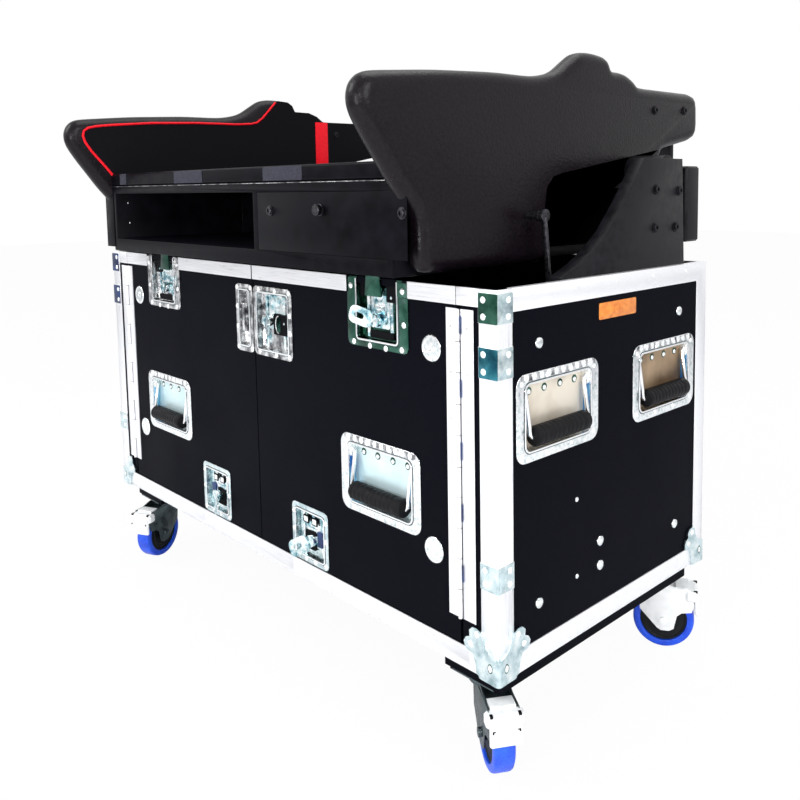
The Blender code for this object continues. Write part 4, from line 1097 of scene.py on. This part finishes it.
# The centre latch's keeper on the left door
keeperStyle = {
    "centre": (-0.0334, 0.491), "size": (0.0632, 0.138), "hole": (0.0186, 0.0560),
    "bar": ((-0.050, 0.0030, 0.462), (-0.040, 0.0118, 0.520)),
    "spots": ((-0.0585, 0.5525), (-0.0082, 0.5535), (-0.0590, 0.5128), (-0.0590, 0.4717), (-0.0585, 0.4294),
              (-0.0075, 0.4285)),
}
keeper = latchDish(keeperStyle["centre"], *keeperStyle["size"], keeperStyle["hole"])
frameRing, line = latchRings(keeperStyle["centre"], keeperStyle["hole"])
bar = soften(roundBox(*keeperStyle["bar"], 0, 0.003), 0.0006)
finishMoved(joined(keeper, bar), "centreKeeper", "door_left", zincGreyReflections, "zinc", "centre_latch_keeper")
finishMoved(latchRivets(keeperStyle["spots"]), "centreKeeperRivets", "door_left", rivetWhite, "chrome")
finishMoved(frameRing, "centreKeeperFrame", "door_left", chrome, "chrome")
finishMoved(line, "centreKeeperLine", "door_left", forkDark, "zinc")
print("latches done")

# Castors, modelled once round the swivel axis with the trail along +X
castorStyle = {
    "trail": 0.035, "axle": -0.120, "wheel": 0.060, "half": 0.018, "forkFace": 0.024,
    "plateLow": -0.0391, "plateHigh": -0.0361, "plate": (0.0503, 0.0423), "bolts": (0.040, 0.031),
    "inset": 0.0833, "end": 0.070,
    "hub": ((0.0060, 0.0206), (0.0118, 0.0206), (0.0124, 0.0200), (0.0126, 0.0152), (0.0150, 0.0146),
            (0.0300, 0.0138), (0.0315, 0.0126), (0.0410, 0.0126), (0.0425, 0.0140), (0.0452, 0.0140),
            (0.0456, 0.0100)),
    "nut": ((0.0092, -0.001), (0.0092, 0.0010), (0.0078, 0.0012), (0.0078, 0.0040), (0.0066, 0.0048),
            (0.0040, 0.0048), (0.0036, 0.0042)),
    "race": ((0.0355, -0.0493), (0.0362, -0.0480), (0.0362, -0.0440), (0.0345, -0.0432), (0.0345, -0.0420),
             (0.0352, -0.0412), (0.0352, -0.0396), (0.0340, -0.0394)),
    "raceHole": ((0.0300, -0.0600), (0.0300, -0.0300)),
    "skirt": ((-0.0150, -0.0510), (-0.0110, -0.1000), (0.0220, -0.1360), (0.0300, -0.1410), (0.0460, -0.1410),
              (0.0550, -0.1360), (0.0610, -0.1090), (0.0700, -0.1015), (0.0900, -0.0980), (0.0940, -0.0800),
              (0.0860, -0.0510)),
    "skirtFaces": (0.0002, 0.0012), "crown": 0.0466, "crownThick": 0.0012, "crownPlace": (0.0500, 0, -0.0560),
    "crownTilt": 35.4, "topStart": 0.0050, "topEnd": 0.0506,
    "notchBack": 0.0930, "notches": ((0.0205, 0.0045, -0.0570, -0.0532, 0.1002),
                                     (0.0175, 0.0050, -0.0800, -0.0750, 0.1041)),
    "ribs": 4, "ribTop": -0.0700, "ribPitch": 0.0085, "ribHalf": (0.020, 0.0014),
    "ribFaces": (0.1036, 0.1046),
}


def castorWheel():
    s = castorStyle
    r, h = s["wheel"], s["half"]
    side = [(0.030, 0.0115), (0.0455, 0.0120), (0.0462, h - 0.0006), (0.0475, h), (0.0545, h),
            (0.0580, h - 0.0018), (0.0596, h - 0.0050), (r, h - 0.0085)]
    tyre = lathe([(radius, -z) for radius, z in side] + [(r, -0.0015), (r, 0.0015)] + side[::-1], 64)
    hub = lathe([(radius, -z) for radius, z in s["hub"]] + list(s["hub"][::-1]), 48)
    place = Matrix.Translation((s["trail"], 0, s["axle"])) @ Matrix.Rotation(math.pi / 2, 4, "X")
    for piece in (tyre, hub):
        piece.data.transform(place)
    return tyre, hub


def castorPlate():
    s = castorStyle
    x, y = s["plate"]
    return soften(roundBox((-x, -y, s["plateLow"]), (x, y, s["plateHigh"]), 2, 0.006), 0.0006)


def castorBolts():
    s = castorStyle
    x, y = s["bolts"]
    places = [(Vector((a, b, s["plateLow"])), toFloor) for a in (-x, x) for b in (-y, y)]
    head = boltTemplate(0.0055, 0.0035)
    heads = stamped(head, places)
    discard(head)
    return heads


def axleNuts():
    s = castorStyle
    nut = soften(lathe(s["nut"], 6), 0.0004, 1)
    pair = [(Vector((s["trail"], side * s["forkFace"], s["axle"])), (0, side, 0)) for side in (-1, 1)]
    nuts = stamped(nut, pair)
    discard(nut)
    return nuts


def castorSkirt():
    # the fork's wide upper sides, and the crown that joins them over the wheel
    s = castorStyle
    face, thick = s["forkFace"], s["crownThick"]
    inset, proud = s["skirtFaces"]
    sides = []
    for side in (-1, 1):
        low, high = sorted((side * (face - inset), side * (face + proud)))
        sides.append(soften(cutSheet([(x, low, z) for x, z in s["skirt"]], (0, high - low, 0)), 0.0005))
    crown = box((0, -face, 0), (s["crown"], face, thick))
    tilt = Matrix.Rotation(math.radians(s["crownTilt"]), 4, "Y")
    crown.data.transform(Matrix.Translation(s["crownPlace"]) @ tilt)
    topLevel = s["crownPlace"][2]
    top = box((s["topStart"], -face, topLevel - thick), (s["topEnd"], face, topLevel))
    return joined(*sides, top, soften(crown, 0.0004))


def pedalNotches():
    # dark notches at the pedal's waist, their darkness painted shade
    s = castorStyle
    notches = []
    for side in (-1, 1):
        for across, wide, low, high, front in s["notches"]:
            a, b = sorted((side * across, side * (across + wide)))
            notches.append(box((s["notchBack"], a, low), (front, b, high)))
    return joined(*notches)


def pedalTread():
    # raised ribs across the lower flap of the brake pedal
    s = castorStyle
    back, front = s["ribFaces"]
    y, half = s["ribHalf"]
    ribs = []
    for index in range(s["ribs"]):
        z = s["ribTop"] - index * s["ribPitch"]
        ribs.append(soften(roundBox((back, -y, z - half), (front, y, z + half), 0, 0.0012), 0.0003))
    return joined(*ribs)


tyre, hub = castorWheel()
plate, bolts, nuts, skirt = castorPlate(), castorBolts(), axleNuts(), castorSkirt()
tread, notches = pedalTread(), pedalNotches()
race = carve(lathe(castorStyle["race"], 40), lathe(castorStyle["raceHole"], 24))
castors = {
    "right_front": (1, 0, -33), "right_rear": (1, 1, 30),
    "left_front": (-1, 0, -65), "left_rear": (-1, 1, 147),
}
for name, (side, rear, degrees) in castors.items():
    x = side * (halfWidth - castorStyle["inset"])
    y = caseDepth - castorStyle["end"] if rear else castorStyle["end"]
    still = Matrix.Translation(at(x, y, 0))
    turned = still @ Matrix.Rotation(math.radians(degrees), 4, "Z")
    fork, wheel, brake = (f"caster_{kind}_{name}" for kind in ("fork", "wheel", "brake"))
    metal = pedalWhite if name == "right_rear" else forkDark
    dress(fork, f"castorFork_{name}", fork, metal, "castor_metal", 0.0007)
    dress(brake, f"castorPedal_{name}", brake, pedalWhite, "pedal", 0.0014, 3)
    for piece, part, place, body, look, slot, *nodes in (
        (plate, "Plate", still, "case", metal, "castor_metal"),
        (bolts, "Bolts", still, "case", chrome, "chrome"),
        (race, "Race", turned, fork, metal, "castor_metal"),
        (skirt, "Skirt", turned, fork, metal, "castor_metal"),
        (nuts, "Nuts", turned, fork, chrome, "chrome"),
        (tyre, "Tyre", turned, wheel, tyreBlue, "wheel", wheel),
        (hub, "Hub", turned, wheel, hubBlack, "grip", wheel),
        (tread, "Tread", turned, brake, pedalWhite, "pedal"),
        (notches, "Notches", turned, brake, lining, "pedal"),
    ):
        finish(placed(piece, place), f"castor{part}_{name}", body, look, slot, *nodes)
discard(tyre, hub, plate, bolts, nuts, tread, skirt, notches, race)
print("castors done")

# Padded cheeks: side view as (back, height), from the front bottom up over the nose and back along the arm
cheekStyle = {
    "inner": 0.5000, "outer": 0.5450, "round": 0.0215, "fill": 0.9, "cut": 0.22, "cutMost": 0.016,
    "piping": 0.0028, "strip": ((0.5214, 0.7900), (0.5633, 0.9370)),
    "bolts": ((0.598, 0.898), (0.711, 0.903)), "innerBolts": ((0.593, 0.904), (0.706, 0.904)),
    "stud": ((0.0060, 0.0), (0.0060, 0.026), (0.0090, 0.0265), (0.0090, 0.0315), (0.0080, 0.0324)),
    "studPlace": (0.200, 0.700),
}
cheekOutline = (
    (-0.038, 0.617), (-0.038, 0.690), (-0.042, 0.708), (-0.060, 0.730), (-0.085, 0.759), (-0.107, 0.790),
    (-0.129, 0.820), (-0.147, 0.848), (-0.153, 0.864), (-0.154, 0.880), (-0.149, 0.896), (-0.138, 0.908),
    (-0.122, 0.914), (0.002, 0.926), (0.136, 0.934), (0.237, 0.935), (0.291, 0.946), (0.334, 0.974),
    (0.352, 0.985), (0.375, 0.990), (0.400, 0.991), (0.435, 0.989), (0.450, 0.980), (0.458, 0.964),
    (0.501, 0.964), (0.529, 0.955), (0.550, 0.940), (0.774, 0.942), (0.777, 0.848), (0.636, 0.821),
    (0.627, 0.800), (0.560, 0.778), (0.504, 0.763), (0.272, 0.749), (0.271, 0.618),
)
pipingPath = (
    (-0.0330, 0.7580), (-0.0393, 0.7650), (-0.0724, 0.8060), (-0.1035, 0.8425), (-0.1165, 0.8620),
    (-0.1205, 0.8760), (-0.1180, 0.8870), (-0.1080, 0.8945), (-0.0870, 0.8992), (-0.0540, 0.9032),
    (0.0427, 0.9122), (0.1625, 0.9178), (0.2746, 0.9195), (0.3150, 0.9225), (0.3341, 0.9269),
    (0.3520, 0.9400), (0.3930, 0.9830),
)
liningRest = (
    (0.4000, 0.9880), (0.4330, 0.9860), (0.4470, 0.9775), (0.4555, 0.9612), (0.5010, 0.9612),
    (0.5275, 0.9525), (0.5490, 0.9375), (0.7715, 0.9395), (0.7745, 0.8500), (0.6340, 0.8235),
    (0.6250, 0.8025), (0.5590, 0.7808), (0.5030, 0.7655), (0.2700, 0.7630),
)


def cornersCut(points, rounds=2):
    for _ in range(rounds):
        new = []
        for (ay, az), (by, bz) in zip(points, points[1:] + points[:1]):
            length = math.dist((ay, az), (by, bz))
            cut = min(cheekStyle["cut"], cheekStyle["cutMost"] / length)
            new.append((ay + (by - ay) * cut, az + (bz - az) * cut))
            new.append((by + (ay - by) * cut, bz + (az - bz) * cut))
        points = new
    return points


def cheekPad():
    s = cheekStyle
    outline = [(s["inner"], y, z) for y, z in cornersCut(list(cheekOutline))]
    pad = cutSheet(outline, (s["outer"] - s["inner"], 0, 0))
    openEdges(pad, lambda a, b: abs(a.x - b.x) < 1e-5)
    bpy.ops.mesh.bevel(offset=s["round"], segments=6, affect="EDGES")
    closeEdit()
    return pad


pad = cheekPad()
for side, sign in (("right", 1), ("left", -1)):
    shift = Matrix.Translation(origin) @ Matrix.Scale(sign, 4, (1, 0, 0))
    cheek = placed(pad, shift)
    finish(cheek, f"paddedCheek_{side}", "cradle", leather, "leather", f"cheek_{side}", smooth=50)
discard(pad)
inner, outer = cheekStyle["inner"], cheekStyle["outer"]
panelSide, panelFar = inner - 0.0004, inner + 0.0004
panel = cutSheet([(panelSide, y, z) for y, z in (*pipingPath[1:], *liningRest)], (panelFar - panelSide, 0, 0))
mirrorPair(panel, "cheekLining", "cradle", lining, "leather")
piping = tube([(inner - 0.0008, y, z) for y, z in pipingPath], cheekStyle["piping"])
mirrorPair(piping, "redPiping", "cradle", red, "leather", smooth=60)
stripLow, stripHigh = cheekStyle["strip"]
strip = roundBox((inner - 0.0018, *stripLow), (inner + 0.002, *stripHigh), 0, 0.0012, 2)
mirrorPair(soften(strip, 0.0006), "redStrip", "cradle", red, "leather")
armBolts = onSide(outer, cheekStyle["bolts"]) + onSide(inner, cheekStyle["innerBolts"], toMiddle)
mirrorPair(stamped(bolt, armBolts), "armBolts", "cradle", bracketBlack, "bracket")
stud = lathe(cheekStyle["stud"], 24)
studs = stamped(stud, onSide(outer - 0.0005, [cheekStyle["studPlace"]]))
mirrorPair(studs, "strutStud", "cradle", steelAndShade, "chrome")
print("cheeks done")

# Cradle boards, front rail and its felt pads
railStyle = {
    "front": -0.0600, "low": 0.7640, "high": 0.7885, "padProud": 0.0009,
    "pads": ((-0.4528, -0.4208), (-0.1895, -0.0719), (0.1491, 0.2698)),
}
trayStyle = {
    "edge": 0.0012, "panelEdge": 0.0010, "edging": ((-0.4985, -0.0604, 0.7596), (0.4985, -0.0570, 0.7606)),
    "face": -0.0612, "faceBack": -0.0598, "faceRight": 0.5350,
    "leftBoard": ((-0.5400, -0.0600, 0.6200), (-0.4900, -0.0572, 0.7400)),
    "innerFace": -0.4817, "innerScrews": ((-0.030, 0.722), (-0.028, 0.675)),
    "screws": ((0.170, 0.711), (0.5250, 0.711)), "knobPlace": (0.320, 0.714),
    "knob": ((0.0100, 0.0), (0.0100, 0.0020), (0.0066, 0.0030), (0.0066, 0.0052), (0.0094, 0.0064),
             (0.0096, 0.0096), (0.0084, 0.0107), (0.0030, 0.0110)),
}
for node, name, edge in (("cradle_tray", "cradleBoards", "edge"), ("front_rail", "frontRail", "edge"),
                         ("compartment_panel", "compartmentFront", "panelEdge")):
    dress(node, name, "cradle", boardBlack, "cradle_board", trayStyle[edge])


def railPads():
    s = railStyle
    pads = []
    for start, end in s["pads"]:
        low, high = (start, s["front"] - s["padProud"], s["low"]), (end, s["front"] + 0.002, s["high"])
        pads.append(soften(roundBox(low, high, 1, 0.0015, 2), 0.0004))
    return joined(*pads)


def trayFaces():
    # face boards in front of the compartment, as far as the cheek, and at the tray's left end
    s = trayStyle
    panelLow, panelHigh = (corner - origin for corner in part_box("compartment_panel"))
    front = box((panelLow.x, s["face"], panelLow.z), (s["faceRight"], s["faceBack"], panelHigh.z))
    return soften(joined(front, box(*s["leftBoard"])), 0.0006)


finishMoved(railPads(), "railPads", "cradle", foam, "cradle_board")
edging = roundBox(*trayStyle["edging"], 0, 0.0004, 3)
finishMoved(edging, "deckEdging", "cradle", zincGreyReflections, "cradle_board")
finishMoved(trayFaces(), "trayFaceBoards", "cradle", boardBlack, "cradle_board")
innerScrews = stamped(smallRivet, onSide(trayStyle["innerFace"], trayStyle["innerScrews"]))
finishMoved(innerScrews, "trayScrews", "cradle", chrome, "chrome")
panelScrews = stamped(bolt, onFront(trayStyle["face"], trayStyle["screws"]))
finishMoved(panelScrews, "panelScrews", "cradle", steelAndShade, "chrome")
knob = lathe(trayStyle["knob"], 28)
knobs = stamped(knob, onFront(trayStyle["face"], [trayStyle["knobPlace"]]))
finishMoved(knobs, "compartmentKnob", "cradle", steelAndShade, "chrome")
print("cradle done")

# Brackets with their bolts, and the gas struts
bracketStyle = {
    "face": 0.6442, "bolts": ((0.445, 0.741), (0.524, 0.738), (0.442, 0.672), (0.513, 0.671)),
    "edge": 0.0014,
}
strutStyle = {"cylinderEdge": 0.0008, "rodEdge": 0.0005}
bracketBolts = onSide(bracketStyle["face"], bracketStyle["bolts"])
mirrorPair(stamped(bolt, bracketBolts), "bracketBolts", "case", bracketBlack, "bracket")
for side in ("right", "left"):
    cylinder, rod = f"strut_cylinder_{side}", f"strut_rod_{side}"
    dress(f"bracket_{side}", f"pivotBracket_{side}", "case", bracketBlack, "bracket", bracketStyle["edge"])
    edge = strutStyle["cylinderEdge"]
    dress(cylinder, f"strutCylinder_{side}", cylinder, bracketBlack, "castor_metal", edge)
    # the chrome rod takes the dark steel look as painted shade, where it stands in shadow under the cradle
    dress(rod, f"strutRod_{side}", rod, steelAndShade, "chrome", strutStyle["rodEdge"])
print("brackets and struts done")

# Bolt heads on the side panels and a blank amber plate on the right
sideStyle = {
    "bolts": ((0.099, 0.510), (0.512, 0.513), (0.506, 0.101), (0.098, 0.094), (0.262, 0.144), (0.262, 0.101)),
    "screws": ((0.196, 0.235), (0.197, 0.103)),
    "head": ((0.0090, -0.0005), (0.0090, 0.0006), (0.0082, 0.0020), (0.0058, 0.0032), (0.0024, 0.0036)),
    "blank": ((0.256, 0.526), (0.366, 0.554)), "blankFaces": (0.0005, 0.0008),
}
sideFace = halfWidth - panelFace
head = lathe(sideStyle["head"], 24)
mirrorPair(stamped(head, onSide(sideFace, sideStyle["bolts"])), "sideBolts", "case", zinc, "zinc")
mirrorPair(stamped(rivet, onSide(sideFace, sideStyle["screws"])), "sideScrews", "case", zinc, "zinc")
blankLow, blankHigh = sideStyle["blank"]
sunk, proud = sideStyle["blankFaces"]
blank = roundBox((sideFace - sunk, *blankLow), (sideFace + proud, *blankHigh), 0, 0.003)
finishMoved(soften(blank, 0.0003), "amberPlate", "case", amber, "panel")
discard(smallRivet, rivet, bigRivet, bolt, head, knob, cap, stud)
print("sides done")

# Floor, world, lamps and camera
studio = {
    "floor": 30.0, "floorLevel": -0.0005, "floorWhite": 0.95, "floorLift": 0.96,
    "ambient": (0.92, 0.94, 0.98), "ambientPower": 0.55,
}
pureWhite = (1, 1, 1, 1)


def calculate(tree, operation, first, second):
    made = tree.nodes.new("ShaderNodeMath")
    made.operation = operation
    tree.links.new(first, made.inputs[0])
    if isinstance(second, float):
        made.inputs[1].default_value = second
    else:
        tree.links.new(second, made.inputs[1])
    return made.outputs[0]


def mixed(tree, factor, first, second):
    blend = tree.nodes.new("ShaderNodeMixShader")
    for value, socket in zip((factor, first, second), blend.inputs):
        tree.links.new(value, socket)
    return blend.outputs[0]


def floorMaterial():
    # the camera sees the floor near white, and it keeps its shadows
    made = bpy.data.materials.new("paleFloor")
    made.use_nodes = True
    tree = made.node_tree
    tree.nodes.clear()
    matt = tree.nodes.new("ShaderNodeBsdfDiffuse")
    matt.inputs["Color"].default_value = (studio["floorWhite"],) * 3 + (1,)
    glow = tree.nodes.new("ShaderNodeEmission")
    glow.inputs["Color"].default_value = pureWhite
    path = tree.nodes.new("ShaderNodeLightPath")
    lift = calculate(tree, "MULTIPLY", path.outputs["Is Camera Ray"], studio["floorLift"])
    output = tree.nodes.new("ShaderNodeOutputMaterial")
    tree.links.new(mixed(tree, lift, matt.outputs[0], glow.outputs[0]), output.inputs["Surface"])
    return made


def background(tree, colour, strength):
    made = tree.nodes.new("ShaderNodeBackground")
    made.inputs["Color"].default_value = colour
    made.inputs["Strength"].default_value = strength
    return made.outputs[0]


bpy.ops.object.select_all(action="DESELECT")
bpy.ops.mesh.primitive_plane_add(size=studio["floor"], location=(0, 0, studio["floorLevel"]))
floor = bpy.context.object
floor.name = "floor"
bpy.ops.object.transform_apply(location=True, rotation=True, scale=True)
floor.data.materials.append(floorMaterial())

world = bpy.data.worlds.new("studio")
bpy.context.scene.world = world
world.use_nodes = True
tree = world.node_tree
tree.nodes.clear()
path = tree.nodes.new("ShaderNodeLightPath")
seen = calculate(tree, "MAXIMUM", path.outputs["Is Camera Ray"], path.outputs["Is Glossy Ray"])
seen = calculate(tree, "MAXIMUM", seen, path.outputs["Is Transmission Ray"])
ambient = background(tree, (*studio["ambient"], 1), studio["ambientPower"])
output = tree.nodes.new("ShaderNodeOutputWorld")
tree.links.new(mixed(tree, seen, ambient, background(tree, pureWhite, 1.0)), output.inputs["Surface"])

lamps = {
    "key": {"place": (-2.2, -3.2, 3.4), "aim": (0, 0, 0.5), "size": 2.2, "power": 95},
    "side": {"place": (3.6, -0.6, 2.2), "aim": (0, 0, 0.5), "size": 2.0, "power": 60},
    "flash": {"place": (2.3, -2.4, 1.5), "aim": (0, 0, 0.6), "size": 0.35, "power": 14},
    "edge": {"place": (1.0, -3.0, 1.0), "aim": (0.5, -0.3, 0.9), "size": 0.35, "power": 26},
    "top": {"place": (0.2, 0.6, 4.2), "aim": (0, 0, 0.6), "size": 2.6, "power": 60},
}
for name, s in lamps.items():
    light = bpy.data.lights.new(name, "AREA")
    light.size = s["size"]
    light.energy = s["power"]
    lamp = bpy.data.objects.new(name, light)
    bpy.context.scene.collection.objects.link(lamp)
    lamp.location = s["place"]
    lamp.rotation_euler = (Vector(s["aim"]) - Vector(s["place"])).to_track_quat("-Z", "Y").to_euler()

cameraStyle = {
    "place": (1.45758, -1.18303, 0.92565), "turn": 44.9245, "tip": 5.5885, "roll": -0.66615,
    "sensor": 36, "lens": 37.569, "shift": (-0.07177, -0.1616),
}
view = bpy.data.cameras.new("camera")
view.sensor_width = cameraStyle["sensor"]
view.lens = cameraStyle["lens"]
view.shift_x, view.shift_y = cameraStyle["shift"]
camera = bpy.data.objects.new("camera", view)
bpy.context.scene.collection.objects.link(camera)
camera.matrix_world = (
    Matrix.Translation(cameraStyle["place"])
    @ Matrix.Rotation(math.radians(cameraStyle["turn"]), 4, "Z")
    @ Matrix.Rotation(math.radians(90 - cameraStyle["tip"]), 4, "X")
    @ Matrix.Rotation(math.radians(cameraStyle["roll"]), 4, "Z")
)
bpy.context.scene.camera = camera
bpy.context.scene.view_settings.view_transform = "Standard"

print("scene ready")
